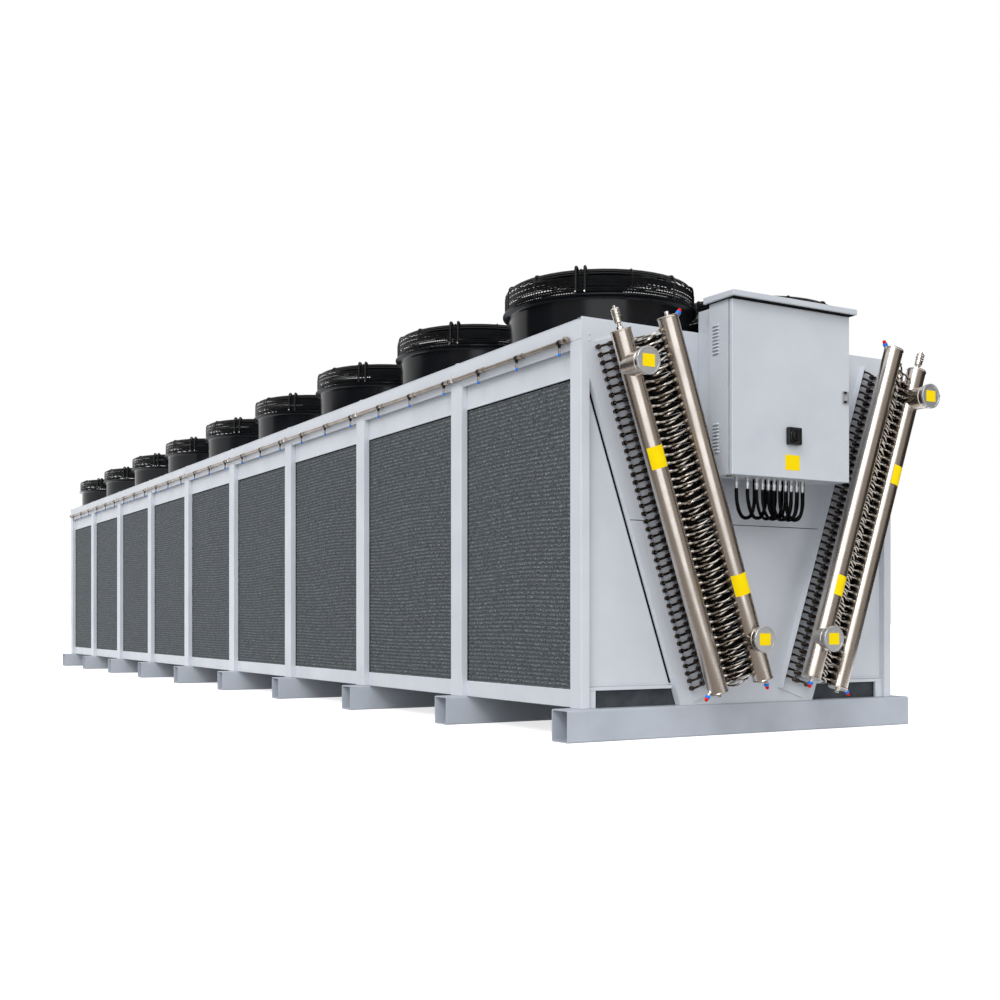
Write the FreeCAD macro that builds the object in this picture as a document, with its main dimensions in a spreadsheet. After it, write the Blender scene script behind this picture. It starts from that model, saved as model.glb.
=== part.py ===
import FreeCAD, Part
import os
import re

# A long dry cooler with two coils set in a V, wet pads along both sides and two rows of fans.
# Millimetres. +X points to the right seen from the header end, +Y runs along the machine away
# from the headers, +Z is up. The origin is on the floor under the middle of the whole machine.

BAYS = 9
TUBE_ROWS = 45
NOZZLES_PER_BAY = 3
FAN_BLADES = 5
GUARD_RIBS = 8
LARGE_GLANDS = 2
SMALL_GLANDS = 9

# Driving dimensions. Heights are measured from the floor, and what is called a reach is
# measured forwards from the front plane of the frame.
SIZES = {
    # Frame and skids
    "frame_width": 2066,
    "bay_pitch": 1345,
    "end_trim": 75,
    "skid_height": 156,
    "skid_depth": 140,
    "skid_wall": 6,
    "skid_overhang": 98,
    "skid_lip": 35,
    "post_depth": 51,
    "post_width": 125,
    "end_post_width": 96,
    "rail_recess": 35,
    "rail_depth": 60,
    "spandrel_recess": 37,
    "spandrel_depth": 12,
    "pad_recess": 40,
    "pad_depth": 60,
    "rail_height": 87,
    "spandrel_height": 163,
    "fascia_rise": 33,
    "fascia_depth": 45,
    "lip_drop": 38,
    "lip_setback": 28,
    # Roof
    "fascia_height": 96,
    "deck_thickness": 4,
    "deck_seam": 2,
    # Fans
    "fan_row_gap": 78,
    "deck_margin": 30,
    "shroud_wall": 4,
    "shroud_height": 190,
    "shroud_lip_reach": 34,
    "shroud_lip_height": 12,
    "guard_overhang": 24,
    "guard_height": 127,
    "guard_rod": 8,
    "guard_ring_step": 256,
    "motor_plate_radius": 120,
    "motor_radius": 90,
    "hub_radius": 110,
    "hub_height": 90,
    "hub_rise": 60,
    "blade_width": 190,
    "blade_thickness": 6,
    "blade_pitch_angle": 28,
    "blade_tip_gap": 12,
    # End plates
    "plate_thickness": 4,
    "shoulder_height": 1885,
    "foot_half": 442.4,
    "plate_lip": 7,
    "flange_depth": 43,
    "flange_wall": 4,
    "corner_recess": 36,
    "corner_sheet": 4,
    "corner_rise": 85,
    "corner_rail_height": 17,
    "corner_rail_depth": 16,
    "corner_leg_width": 47,
    # Coils
    "coil_inset": 62,
    "coil_thickness": 200,
    "coil_overrun": 25,
    "trough_inset": 12,
    "trough_height": 80,
    "trough_wall": 4,
    "tube_sheet_thickness": 8,
    "first_row": 77,
    "last_row": 35,
    "bend_span": 70,
    "bend_tube": 8,
    "outer_bend": 57,
    "inner_bend": 147,
    # Headers, measured in the plane of the coil: across it from its outer face, and up along it
    "header_radius": 49,
    "header_cap_radius": 51,
    "header_cap_height": 6,
    "outer_header_across": 10,
    "outer_header_reach": 236,
    "outer_header_start": 69,
    "inner_header_across": 253,
    "inner_header_reach": 290,
    "inner_header_start": 50,
    "header_overrun": 8,
    "outer_stub_drop": 171,
    "inner_stub_up": 260,
    "stub_radius": 57.15,
    "stub_reach": 385,
    "stub_disc_radius": 65,
    "stub_disc_thickness": 12,
    "stub_offset": 10,
    "feeder_radius": 6,
    "feeder_bend": 30,
    "outer_feeder_across": 102,
    "inner_feeder_across": 150,
    "seat_gap": 0.3,
    "vent_neck_radius": 8,
    "vent_neck_height": 30,
    "vent_radius": 17,
    "vent_height": 84,
    "plug_radius": 12,
    "plug_height": 22,
    "valve_radius": 10,
    "valve_length": 46,
    "valve_inset": 24,
    # Spray line
    "spray_radius": 11,
    "spray_gap": 7,
    "spray_rise": 8,
    "spray_end": 105,
    "clamp_width": 20,
    "clamp_height": 16,
    "nozzle_radius": 6,
    "nozzle_drop": 34,
    "nozzle_shift": 115,
    # Control cabinet
    "cabinet_side_room": 441,
    "cabinet_height": 848,
    "cabinet_rise": 109,
    "cabinet_back_reach": 155,
    "cabinet_reach": 327,
    "cabinet_wall": 4,
    "door_thickness": 22,
    "door_gap": 6,
    "door_top_gap": 5,
    "hinge_inset": 6,
    "hinge_setback": 7,
    "hinge_pin_radius": 3,
    "hinge_pin_length": 20,
    "hinge_clearance": 0.3,
    "hinge_end_gap": 5,
    "hinge_foot_width": 20,
    "hinge_foot_thickness": 4,
    "hinge_foot_grip": 14,
    "lid_side": 21,
    "lid_front": 35,
    "lid_back_reach": 134,
    "lid_height": 34,
    "standoff_inset": 54,
    "standoff_height": 627,
    "lock_width": 30,
    "lock_height": 64,
    "lock_depth": 18,
    "lock_edge": 10,
    "lock_rise": 397,
    "isolator_width": 86,
    "isolator_depth": 24,
    "isolator_rise": 207,
    "knob_radius": 26,
    "knob_depth": 8,
    "knob_grip_width": 14,
    "knob_grip_length": 60,
    "knob_grip_depth": 14,
    "knob_gap": 5,
    "knob_shaft_radius": 7,
    "knob_shaft_length": 16,
    # Cable glands and cables
    "gland_reach": 240,
    "gland_radius": 12,
    "gland_length": 60,
    "large_gland_inset": 100.5,
    "large_gland_pitch": 70,
    "small_gland_inset": 229.5,
    "small_gland_pitch": 37.5,
    "cable_radius": 7,
    "cable_drop": 95,
    "cable_shift": 50,
    # How far a cutting shape reaches past what it cuts through
    "cutter_overrun": 5,
}

# Places worked out from the driving dimensions
PLACES = {
    "half_width": "frame_width / 2",
    "end_bay": "bay_pitch - end_trim",
    "frame_length": f"2 * end_bay + {BAYS - 2} * bay_pitch",
    "fascia_bottom": "shoulder_height + fascia_rise",
    "pad_bottom": "skid_height + rail_height",
    "pad_top": "fascia_bottom - spandrel_height",
    "bend_reach": "plate_thickness + tube_sheet_thickness + bend_span / 2 + bend_tube",
    "front_face": "(stub_reach - frame_length - max(skid_lip; bend_reach)) / 2",
    "back_face": "front_face + frame_length",
    "deck_bottom": "fascia_bottom + fascia_height",
    "deck_top": "deck_bottom + deck_thickness",
    "plate_top": "deck_top + plate_lip",
    "fan_offset": "(half_width + fan_row_gap / 2 - deck_margin) / 2",
    "shroud_radius": "(half_width - fan_row_gap / 2 - deck_margin) / 2",
    "shroud_lip_radius": "shroud_radius + shroud_lip_reach",
    "shroud_bore": "shroud_radius - shroud_wall",
    "shroud_top": "deck_top + shroud_height",
    "guard_radius": "shroud_radius + guard_overhang",
    "guard_inner_ring": "guard_radius - guard_ring_step",
    "coil_foot_height": "skid_height + trough_wall",
    "tilt_ratio": "(half_width - foot_half) / (shoulder_height - coil_foot_height)",
    "coil_tilt": "atan(tilt_ratio)",
    "coil_foot": "foot_half - coil_inset",
    "coil_length": "(shoulder_height + coil_overrun - coil_foot_height) / cos(coil_tilt)",
    "row_pitch": f"(coil_length - first_row - last_row) / {TUBE_ROWS - 1}",
    "header_end": "coil_length + header_overrun",
    "outer_stub_up": "header_end - outer_stub_drop",
    "trough_half": "foot_half - trough_inset",
    "post_inside": "half_width - post_depth",
    "flange_span": "flange_wall / cos(coil_tilt)",
    "corner_bottom": "skid_height + corner_rise",
    "spray_height": "fascia_bottom + spray_rise",
    "pipe_x": "-(half_width + spray_gap + spray_radius)",
    "door_back_reach": "cabinet_reach - door_thickness",
    "body_reach": "door_back_reach - door_gap",
    "cabinet_top": "deck_top + cabinet_rise",
    "cabinet_bottom": "cabinet_top - cabinet_height",
    "shoulder_drop": "shoulder_height - cabinet_bottom",
    "half_cabinet": "half_width - shoulder_drop * tilt_ratio - cabinet_side_room",
    "cabinet_width": "2 * half_cabinet",
    "standoff_width": "cabinet_width - 2 * standoff_inset",
    "lock_bottom": "cabinet_bottom + lock_rise",
    "isolator_middle": "cabinet_bottom + isolator_rise",
    "hinge_x": "-(half_cabinet - hinge_inset)",
    "hinge_y": "front_face - cabinet_reach + hinge_setback",
    "door_top": "cabinet_top - door_top_gap",
    "hinge_bore": "hinge_pin_radius + hinge_clearance",
    "isolator_face": "front_face - cabinet_reach - isolator_depth",
    "knob_back": "isolator_face - knob_gap",
    "bend_ring": "bend_span / 2",
    "cable_ring": "cable_shift / sqrt(2)",
    "gland_bottom": "cabinet_bottom - gland_length",
    "large_gland_start": "large_gland_inset - half_cabinet",
    "small_gland_start": "small_gland_inset - half_cabinet",
}

doc = FreeCAD.newDocument("DryCooler")
sheet = doc.addObject("Spreadsheet::Sheet", "Dims")
for number, (alias, value) in enumerate(SIZES.items(), start=1):
    sheet.set(f"A{number}", alias)
    sheet.set(f"B{number}", str(value))
    sheet.setAlias(f"B{number}", alias)
doc.recompute()


def formula(text):
    """Writes a formula of size and place names out as a formula of the sheet's cells."""

    def cell(match):
        word = match.group(0)
        if word in SIZES:
            return f"Dims.{word}"
        if word in PLACES:
            return f"({formula(PLACES[word])})"
        return word

    return re.sub(r"[a-z]+(?:_[a-z]+)*", cell, str(text))


def bind(thing, **formulas):
    """Ties properties of an object to formulas."""
    for name, text in formulas.items():
        thing.setExpression(name, formula(text))


def put(thing, at, turn=None):
    """Places an object by three formulas, turned about an axis through its own origin."""
    if turn:
        axis, angle = turn
        rotation = FreeCAD.Rotation(FreeCAD.Vector(*axis), 90)
        thing.Placement = FreeCAD.Placement(FreeCAD.Vector(), rotation)
        thing.setExpression("Placement.Rotation.Angle", formula(angle))
    for axis, text in zip("xyz", at):
        thing.setExpression(f"Placement.Base.{axis}", formula(text))
    return thing


def box(name, size, at, turn=None):
    """A block with its lowest corner at the given place."""
    block = doc.addObject("Part::Box", name)
    bind(block, Length=size[0], Width=size[1], Height=size[2])
    return put(block, at, turn)


def cylinder(name, radius, height, at, turn=None):
    """A round bar that rises from the given place."""
    bar = doc.addObject("Part::Cylinder", name)
    bind(bar, Radius=radius, Height=height)
    return put(bar, at, turn)


def torus(name, ring, tube, at, sweep, turn=None):
    """A bent round bar that sweeps about its own Z axis."""
    bend = doc.addObject("Part::Torus", name)
    bind(bend, Radius1=ring, Radius2=tube, Angle3=f"{sweep} * 1 deg")
    return put(bend, at, turn)


def wedge(name, base, top, rise, depth):
    """A sheet with four sides: its x limits at the base and at the top of its rise."""
    sheet_metal = doc.addObject("Part::Wedge", name)
    bind(sheet_metal, Xmin=base[0], Xmax=base[1], X2min=top[0], X2max=top[1])
    bind(sheet_metal, Ymin="0", Ymax=rise)
    bind(sheet_metal, Zmin="0", Zmax=depth, Z2min="0", Z2max=depth)
    return sheet_metal


def slab(name, low, high, heights, front, depth):
    """An upright sheet that stands on its x limits at the lower height."""
    standing = wedge(name, low, high, f"({heights[1]}) - ({heights[0]})", depth)
    return put(standing, ("0", f"{front} + ({depth})", heights[0]), TURN_FORWARD)


def hanging_slab(name, low, high, heights, front, depth):
    """An upright sheet that hangs from its x limits at the upper height."""
    hanging = wedge(name, high, low, f"({heights[1]}) - ({heights[0]})", depth)
    return put(hanging, ("0", front, heights[1]), TURN_BACKWARD)


def cut(name, base, tool):
    """One object with another taken away."""
    result = doc.addObject("Part::Cut", name)
    result.Base = base
    result.Tool = tool
    return result


def fuse(name, pieces):
    """Objects that are welded into one solid."""
    result = doc.addObject("Part::MultiFuse", name)
    result.Shapes = pieces
    return result


def gather(name, pieces):
    """Separate solids that belong to one group."""
    group = doc.addObject("Part::Compound", name)
    group.Links = pieces
    return group


def copies(source, places):
    """Further examples of an object at other places."""
    made = []
    for at in places:
        link = doc.addObject("App::Link", f"{source.Name}Copy")
        link.LinkedObject = source
        made.append(put(link, at))
    return made


def mirrored(name, source, normal, base_y="0"):
    """The mirror image of an object in an upright plane."""
    image = doc.addObject("Part::Mirroring", name)
    image.Source = source
    image.Normal = normal
    image.setExpression("Base.y", formula(base_y))
    return image


def across(name, source):
    """The same thing on the right-hand side of the machine."""
    return mirrored(name, source, ACROSS)


def rear(name, source):
    """The same thing at the far end of the machine."""
    return mirrored(name, source, ALONG, "(front_face + back_face) / 2")


def in_coil_plane(name, pieces):
    """A left-hand group whose x runs across the coil and whose z runs up along it."""
    group = gather(name, pieces)
    return put(group, ("-(coil_foot)", "front_face", "coil_foot_height"), (ABOUT_Y, "-coil_tilt"))


ABOUT_X = (1, 0, 0)
ABOUT_Y = (0, 1, 0)
ABOUT_Z = (0, 0, 1)
ACROSS = FreeCAD.Vector(1, 0, 0)
ALONG = FreeCAD.Vector(0, 1, 0)
TURN_FORWARD = (ABOUT_X, "90 * 1 deg")
TURN_BACKWARD = (ABOUT_X, "-90 * 1 deg")
TURN_INWARD = (ABOUT_Y, "90 * 1 deg")
TURN_OUTWARD = (ABOUT_Y, "-90 * 1 deg")
TURN_DOWN = (ABOUT_X, "180 * 1 deg")

nodes = {}


def node(name, shape):
    """Names one sub-part of the machine."""
    shape.Label = name
    nodes[name] = shape
    return shape


def post_line(number):
    """The y of a post's middle, counted from the second post."""
    return f"(front_face + end_bay + {number - 1} * bay_pitch)"


def fan_line(number):
    """The y of a fan's middle, counted from the header end."""
    return f"(front_face + end_bay + {number - 0.5} * bay_pitch)"


def bay_limits(number):
    """The y of the posts' faces that a bay lies between."""
    start = f"{post_line(number)} + post_width / 2"
    end = f"{post_line(number + 1)} - post_width / 2"
    if number == 0:
        start = "front_face + end_post_width"
    if number == BAYS - 1:
        end = "back_face - end_post_width"
    return f"({start})", f"({end})"


def edge_at(height):
    """Half the width of the V of the end plate at a height."""
    return f"(half_width - (shoulder_height - ({height})) * tilt_ratio)"


def bay_row(name, recess, depth, bottom, top):
    """One block in each bay of the left-hand side, set back from the side by its recess."""
    blocks = []
    for number in range(BAYS):
        start, end = bay_limits(number)
        size = (depth, f"{end} - {start}", f"({top}) - ({bottom})")
        blocks.append(box(name, size, (f"-(half_width - {recess})", start, bottom)))
    return gather(f"{name}Row", blocks)


# Skids: open rectangular tubes, one across the machine under each pair of posts
skid_span = "frame_width + 2 * skid_overhang"
skid_outer = box("SkidOuter", (skid_span, "skid_depth", "skid_height"),
                 (f"-({skid_span}) / 2", "0", "0"))
skid_inner = box("SkidInner", (f"{skid_span} + 2 * cutter_overrun", "skid_depth - 2 * skid_wall",
                               "skid_height - 2 * skid_wall"),
                 (f"-({skid_span}) / 2 - cutter_overrun", "skid_wall", "skid_wall"))
skid = cut("Skid", skid_outer, skid_inner)
skid_starts = ["front_face - skid_lip"]
skid_starts += [f"{post_line(number)} - skid_depth / 2" for number in range(1, BAYS)]
skid_starts += ["back_face + skid_lip - skid_depth"]
node("base_skids", gather("Skids", copies(skid, [("0", start, "0") for start in skid_starts])))

# Posts
post_rise = "fascia_bottom - skid_height"
end_post = box("EndPost", ("post_depth", "end_post_width", post_rise), ("0", "0", "0"))
middle_post = box("MiddlePost", ("post_depth", "post_width", post_rise), ("0", "0", "0"))
left_posts = copies(end_post, [("-half_width", start, "skid_height")
                               for start in ("front_face", "back_face - end_post_width")])
left_posts += copies(middle_post, [("-half_width", f"{post_line(number)} - post_width / 2", "skid_height")
                                   for number in range(1, BAYS)])
posts_left = node("posts_left", gather("PostsLeft", left_posts))
node("posts_right", across("PostsRight", posts_left))

# Rails under the pads and plain panels above them, in every bay on both sides
rails = bay_row("Rail", "rail_recess", "rail_depth", "skid_height", "pad_bottom")
node("bottom_rails", gather("BottomRails", [rails, across("RailsRight", rails)]))
spandrels = bay_row("Spandrel", "spandrel_recess", "spandrel_depth", "pad_top", "fascia_bottom")
node("spandrel_panels", gather("SpandrelPanels", [spandrels, across("SpandrelsRight", spandrels)]))
wet_pads = node("wet_pads_left", bay_row("WetPad", "pad_recess", "pad_depth", "pad_bottom", "pad_top"))
node("wet_pads_right", across("WetPadsRight", wet_pads))

# Fascia: a beam along the top of the side, with a sloping lip under it between the posts
beam = box("FasciaBeam", ("fascia_depth", "frame_length", "deck_bottom - fascia_bottom"),
           ("-half_width", "front_face", "fascia_bottom"))
lips = []
for number in range(BAYS):
    start, end = bay_limits(number)
    inner_edge = "-(half_width - lip_setback)"
    lips.append(hanging_slab("FasciaLip", (inner_edge, inner_edge), ("-half_width", inner_edge),
                             ("fascia_bottom - lip_drop", "fascia_bottom"), start,
                             f"({end} - {start})"))
fascia = node("roof_fascia_left", fuse("RoofFasciaLeft", [beam] + lips))
node("roof_fascia_right", across("RoofFasciaRight", fascia))

# Fan deck: one panel in each bay, with a hole for each fan
panels = []
for number in range(BAYS):
    start = "front_face" if number == 0 else f"{post_line(number)} + deck_seam / 2"
    end = "back_face" if number == BAYS - 1 else f"{post_line(number + 1)} - deck_seam / 2"
    panels.append(box("DeckPanel", ("frame_width", f"{end} - ({start})", "deck_thickness"),
                      ("-half_width", start, "deck_bottom")))
fan_places = {side: [(f"{side} * fan_offset", fan_line(number)) for number in range(BAYS)]
              for side in (-1, 1)}
hole = cylinder("DeckHole", "shroud_bore", "deck_thickness + 2 * cutter_overrun", ("0", "0", "0"))
holes = copies(hole, [(x, y, "deck_bottom - cutter_overrun") for x, y in fan_places[-1] + fan_places[1]])
node("fan_deck", cut("FanDeck", gather("DeckPanels", panels), gather("DeckHoles", holes)))

# Fan shroud: a tube on the deck with a rolled lip round its mouth
shroud_skin = fuse("ShroudSkin", [
    cylinder("ShroudTube", "shroud_radius", "shroud_height", ("0", "0", "0")),
    cylinder("ShroudLip", "shroud_lip_radius", "shroud_lip_height",
             ("0", "0", "shroud_height - shroud_lip_height")),
])
shroud_bore = cylinder("ShroudBore", "shroud_bore", "shroud_height + 2 * cutter_overrun",
                       ("0", "0", "-cutter_overrun"))
shroud = cut("Shroud", shroud_skin, shroud_bore)


def flat_ring(name, radius, width, height, rise):
    """A flat ring of square bar."""
    outside = cylinder(f"{name}Outside", radius, height, ("0", "0", rise))
    inside = cylinder(f"{name}Inside", f"{radius} - {width}", f"{height} + 2 * cutter_overrun",
                      ("0", "0", f"{rise} - cutter_overrun"))
    return cut(name, outside, inside)


# Fan guard: a basket of rods on the shroud's mouth, which carries the motor in its middle
guard_roof = "guard_height - guard_rod"
guard_parts = [
    flat_ring("GuardFoot", "guard_radius", "guard_rod", "guard_rod", "0"),
    flat_ring("GuardBelt", "guard_radius", "guard_rod", "guard_rod", f"({guard_roof}) / 2"),
    flat_ring("GuardRim", "guard_radius", "guard_rod", "guard_rod", f"({guard_roof})"),
    flat_ring("GuardInner", "guard_inner_ring", "guard_rod", "guard_rod", f"({guard_roof})"),
    cylinder("MotorPlate", "motor_plate_radius", "guard_rod", ("0", "0", guard_roof)),
]
for number in range(GUARD_RIBS):
    turn = (ABOUT_Z, f"{360 * number / GUARD_RIBS} * 1 deg")
    spoke = box("GuardSpoke", ("guard_radius - guard_rod / 2", "guard_rod", "guard_rod"),
                ("0", "-guard_rod / 2", guard_roof))
    strut = box("GuardStrut", ("guard_rod", "guard_rod", "guard_height"),
                ("guard_radius - guard_rod", "-guard_rod / 2", "0"))
    rib = fuse("GuardRib", [spoke, strut])
    guard_parts.append(put(rib, ("0", "0", "0"), turn))
guard = fuse("Guard", guard_parts)

# Fan rotor: the motor hangs from the guard, and the blades ride on its outer drum
motor_top = "shroud_height + guard_height - guard_rod"
blade_tip = "shroud_bore - blade_tip_gap"
rotor_parts = [
    cylinder("Motor", "motor_radius", f"{motor_top} - hub_rise", ("0", "0", "hub_rise")),
    cylinder("Hub", "hub_radius", "hub_height", ("0", "0", "hub_rise")),
]
for number in range(FAN_BLADES):
    blade = box("Blade", (f"{blade_tip} - hub_radius / 2", "blade_width", "blade_thickness"),
                ("0", "-blade_width / 2", "-blade_thickness / 2"))
    pitched = put(gather("PitchedBlade", [blade]), ("hub_radius / 2", "0", "hub_rise + hub_height / 2"),
                  (ABOUT_X, "blade_pitch_angle * 1 deg"))
    turn = (ABOUT_Z, f"{360 * number / FAN_BLADES} * 1 deg")
    rotor_parts.append(put(gather("TurnedBlade", [pitched]), ("0", "0", "0"), turn))
rotor = fuse("Rotor", rotor_parts)

for side, word in ((-1, "left"), (1, "right")):
    title = word.title()
    shrouds = copies(shroud, [(x, y, "deck_top") for x, y in fan_places[side]])
    node(f"fan_shrouds_{word}", gather(f"FanShrouds{title}", shrouds))
    guards = copies(guard, [(x, y, "shroud_top") for x, y in fan_places[side]])
    node(f"fan_guards_{word}", gather(f"FanGuards{title}", guards))
    rotors = copies(rotor, [(x, y, "deck_top") for x, y in fan_places[side]])
    node(f"fan_rotors_{word}", gather(f"FanRotors{title}", rotors))

# End plate: a V of sheet with flanges turned back along its slanted sides, and a full-width head
plate_front = "front_face - plate_thickness"
v_foot = edge_at("skid_height")
v_sheet = slab("PlateV", (f"-{v_foot}", v_foot), ("-half_width", "half_width"),
               ("skid_height", "shoulder_height"), plate_front, "plate_thickness")
head_sheet = box("PlateHead", ("frame_width", "plate_thickness", "plate_top - shoulder_height"),
                 ("-half_width", plate_front, "shoulder_height"))
flange_outside = slab("FlangeOutside", (f"-{v_foot}", v_foot), ("-half_width", "half_width"),
                      ("skid_height", "shoulder_height"), "front_face", "flange_depth")
flange_inside = slab("FlangeInside", (f"-({v_foot} - flange_span)", f"{v_foot} - flange_span"),
                     ("-(half_width - flange_span)", "half_width - flange_span"),
                     ("skid_height", "shoulder_height"), "front_face", "flange_depth")
between_posts = box("BetweenPosts", ("2 * post_inside", "flange_depth", "shoulder_height"),
                    ("-post_inside", "front_face", "0"))
flanges = doc.addObject("Part::Common", "Flanges")
flanges.Base = cut("FlangeStrips", flange_outside, flange_inside)
flanges.Tool = between_posts
front_plate = node("front_end_plate", fuse("FrontEndPlate", [v_sheet, head_sheet, flanges]))
node("back_end_plate", rear("BackEndPlate", front_plate))

# Corner panels: recessed triangles between the V and the end posts, each with a rail and a leg
corner_front = "(front_face + corner_recess)"
corner_tip = "shoulder_height - post_depth / tilt_ratio"
rail_top = "corner_bottom + corner_rail_height"
triangle = slab("CornerSheet", ("-post_inside", f"-{edge_at('corner_bottom')}"),
                ("-post_inside", "-post_inside"), ("corner_bottom", corner_tip),
                corner_front, "corner_sheet")
corner_rail = box("CornerRail", (f"post_inside - {edge_at(rail_top)}", "corner_rail_depth",
                                 "corner_rail_height"),
                  ("-post_inside", f"{corner_front} - corner_rail_depth", "corner_bottom"))
corner_leg = box("CornerLeg", ("corner_leg_width", "corner_rail_depth", "corner_bottom - skid_height"),
                 ("-post_inside", f"{corner_front} - corner_rail_depth", "skid_height"))
corner = fuse("Corner", [triangle, corner_rail, corner_leg])
front_corners = gather("FrontCorners", [corner, across("CornerRight", corner)])
node("corner_panels", gather("CornerPanels", [front_corners, rear("BackCorners", front_corners)]))

# Trough along the foot of the V
trough_floor = box("TroughFloor", ("2 * trough_half", "frame_length", "trough_wall"),
                   ("-trough_half", "front_face", "skid_height"))
trough_side = box("TroughSide", ("trough_wall", "frame_length", "trough_height - trough_wall - seat_gap"),
                  ("-trough_half", "front_face", "skid_height + trough_wall + seat_gap"))
node("bottom_trough", gather("BottomTrough", [trough_floor, trough_side,
                                              across("TroughSideRight", trough_side)]))

# Coils: a finned block between the end plates, with a tube sheet outside each end plate
sheet_front = "-(plate_thickness + tube_sheet_thickness)"
coil_blocks = [
    box("FinBlock", ("coil_thickness", "frame_length", "coil_length"), ("0", "0", "0")),
    box("TubeSheetFront", ("coil_thickness", "tube_sheet_thickness", "coil_length"),
        ("0", sheet_front, "0")),
    box("TubeSheetBack", ("coil_thickness", "tube_sheet_thickness", "coil_length"),
        ("0", "frame_length + plate_thickness", "0")),
]
coil = node("coil_left", in_coil_plane("CoilLeft", coil_blocks))
node("coil_right", across("CoilRight", coil))

# Return bends: half rings of tube on the tube sheets, two in each row
bend_ring = torus("BendRing", "bend_ring", "bend_tube", ("0", "0", "0"), 180, (ABOUT_Z, "180 * 1 deg"))
front_bend = gather("FrontBend", [bend_ring])
back_ring = torus("BackRing", "bend_ring", "bend_tube", ("0", "0", "0"), 180)
back_bend = gather("BackBend", [back_ring])
row_heights = [f"first_row + {number} * row_pitch" for number in range(TUBE_ROWS)]
back_sheet_face = "frame_length + plate_thickness + tube_sheet_thickness"
bends = []
for middle in ("outer_bend", "inner_bend"):
    bends += copies(front_bend, [(middle, sheet_front, height) for height in row_heights])
    bends += copies(back_bend, [(middle, back_sheet_face, height) for height in row_heights])
return_bends = node("return_bends_left", in_coil_plane("ReturnBendsLeft", bends))
node("return_bends_right", across("ReturnBendsRight", return_bends))


def header(name, middle, reach, start, stub_up):
    """An upright header pipe with flat ends and a forward stub that a disc closes."""
    body_start = f"{start} + header_cap_height"
    parts = [
        cylinder(f"{name}Pipe", "header_radius", f"header_end - {start} - 2 * header_cap_height",
                 (middle, f"-{reach}", body_start)),
        cylinder(f"{name}Foot", "header_cap_radius", "header_cap_height",
                 (middle, f"-{reach}", start)),
        cylinder(f"{name}Head", "header_cap_radius", "header_cap_height",
                 (middle, f"-{reach}", "header_end - header_cap_height")),
        cylinder(f"{name}Stub", "stub_radius", f"stub_reach - {reach} - stub_offset",
                 (middle, f"-({reach} + stub_offset)", stub_up), TURN_FORWARD),
        cylinder(f"{name}Disc", "stub_disc_radius", "stub_disc_thickness",
                 (middle, "-(stub_reach - stub_disc_thickness)", stub_up), TURN_FORWARD),
    ]
    return in_coil_plane(name, [fuse(f"{name}Weld", parts)])


outer_header = node("outer_header_left", header("OuterHeaderLeft", "outer_header_across",
                                                "outer_header_reach", "outer_header_start",
                                                "outer_stub_up"))
inner_header = node("inner_header_left", header("InnerHeaderLeft", "inner_header_across",
                                                "inner_header_reach", "inner_header_start",
                                                "inner_stub_up"))
node("outer_header_right", across("OuterHeaderRight", outer_header))
node("inner_header_right", across("InnerHeaderRight", inner_header))


def feeder(name, middle, reach, landing, side):
    """A tube from a header's side that turns back into the tube sheet."""
    root = "(header_radius + seat_gap)"
    run = f"{side} * ({landing} - {middle}) - {root} - feeder_bend"
    first = cylinder(f"{name}Run", "feeder_radius", run,
                     (f"{middle} + {side} * {root}", f"-{reach}", "0"),
                     TURN_INWARD if side > 0 else TURN_OUTWARD)
    elbow = torus(f"{name}Elbow", "feeder_bend", "feeder_radius",
                  (f"{landing} - {side} * feeder_bend", f"-{reach} + feeder_bend", "0"), 90,
                  (ABOUT_Z, "-90 * 1 deg" if side > 0 else "180 * 1 deg"))
    last = cylinder(f"{name}Tail", "feeder_radius",
                    f"{reach} - feeder_bend - plate_thickness - tube_sheet_thickness",
                    (landing, f"-{reach} + feeder_bend", "0"), TURN_BACKWARD)
    return fuse(name, [first, elbow, last])


outer_feeder = feeder("OuterFeeder", "outer_header_across", "outer_header_reach",
                      "outer_feeder_across", 1)
inner_feeder = feeder("InnerFeeder", "inner_header_across", "inner_header_reach",
                      "inner_feeder_across", -1)
feeder_heights = [f"first_row + {number + 0.5} * row_pitch" for number in range(TUBE_ROWS - 1)]
feeders = copies(outer_feeder, [("0", "0", height) for height in feeder_heights])
feeders += copies(inner_feeder, [("0", "0", height) for height in feeder_heights])
feeder_tubes = node("feeder_tubes_left", in_coil_plane("FeederTubesLeft", feeders))
node("feeder_tubes_right", across("FeederTubesRight", feeder_tubes))

# Air vents on the outer headers, and the plugs and small valves of both headers
vent_parts = [
    cylinder("VentNeck", "vent_neck_radius", "vent_neck_height",
             ("outer_header_across", "-outer_header_reach", "header_end")),
    cylinder("VentBody", "vent_radius", "vent_height",
             ("outer_header_across", "-outer_header_reach", "header_end + vent_neck_height")),
]
vent = in_coil_plane("VentLeft", [fuse("Vent", vent_parts)])
node("air_vents", gather("AirVents", [vent, across("VentRight", vent)]))
valve_parts = [
    cylinder("OuterPlug", "plug_radius", "plug_height",
             ("outer_header_across", "-outer_header_reach", "outer_header_start"), TURN_DOWN),
    cylinder("OuterDrain", "valve_radius", "valve_length",
             ("outer_header_across - header_radius - seat_gap", "-outer_header_reach",
              "outer_header_start + valve_inset"), TURN_OUTWARD),
    cylinder("InnerDrain", "valve_radius", "valve_length",
             ("inner_header_across", "-inner_header_reach", "inner_header_start"), TURN_DOWN),
    cylinder("InnerPlug", "plug_radius", "plug_height",
             ("inner_header_across", "-inner_header_reach", "header_end")),
    cylinder("InnerBleed", "valve_radius", "valve_length",
             ("inner_header_across + header_radius + seat_gap", "-inner_header_reach",
              "header_end - valve_inset"), TURN_INWARD),
]
valves = in_coil_plane("ValvesLeft", valve_parts)
node("drain_valves", gather("DrainValves", [valves, across("ValvesRight", valves)]))

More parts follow.
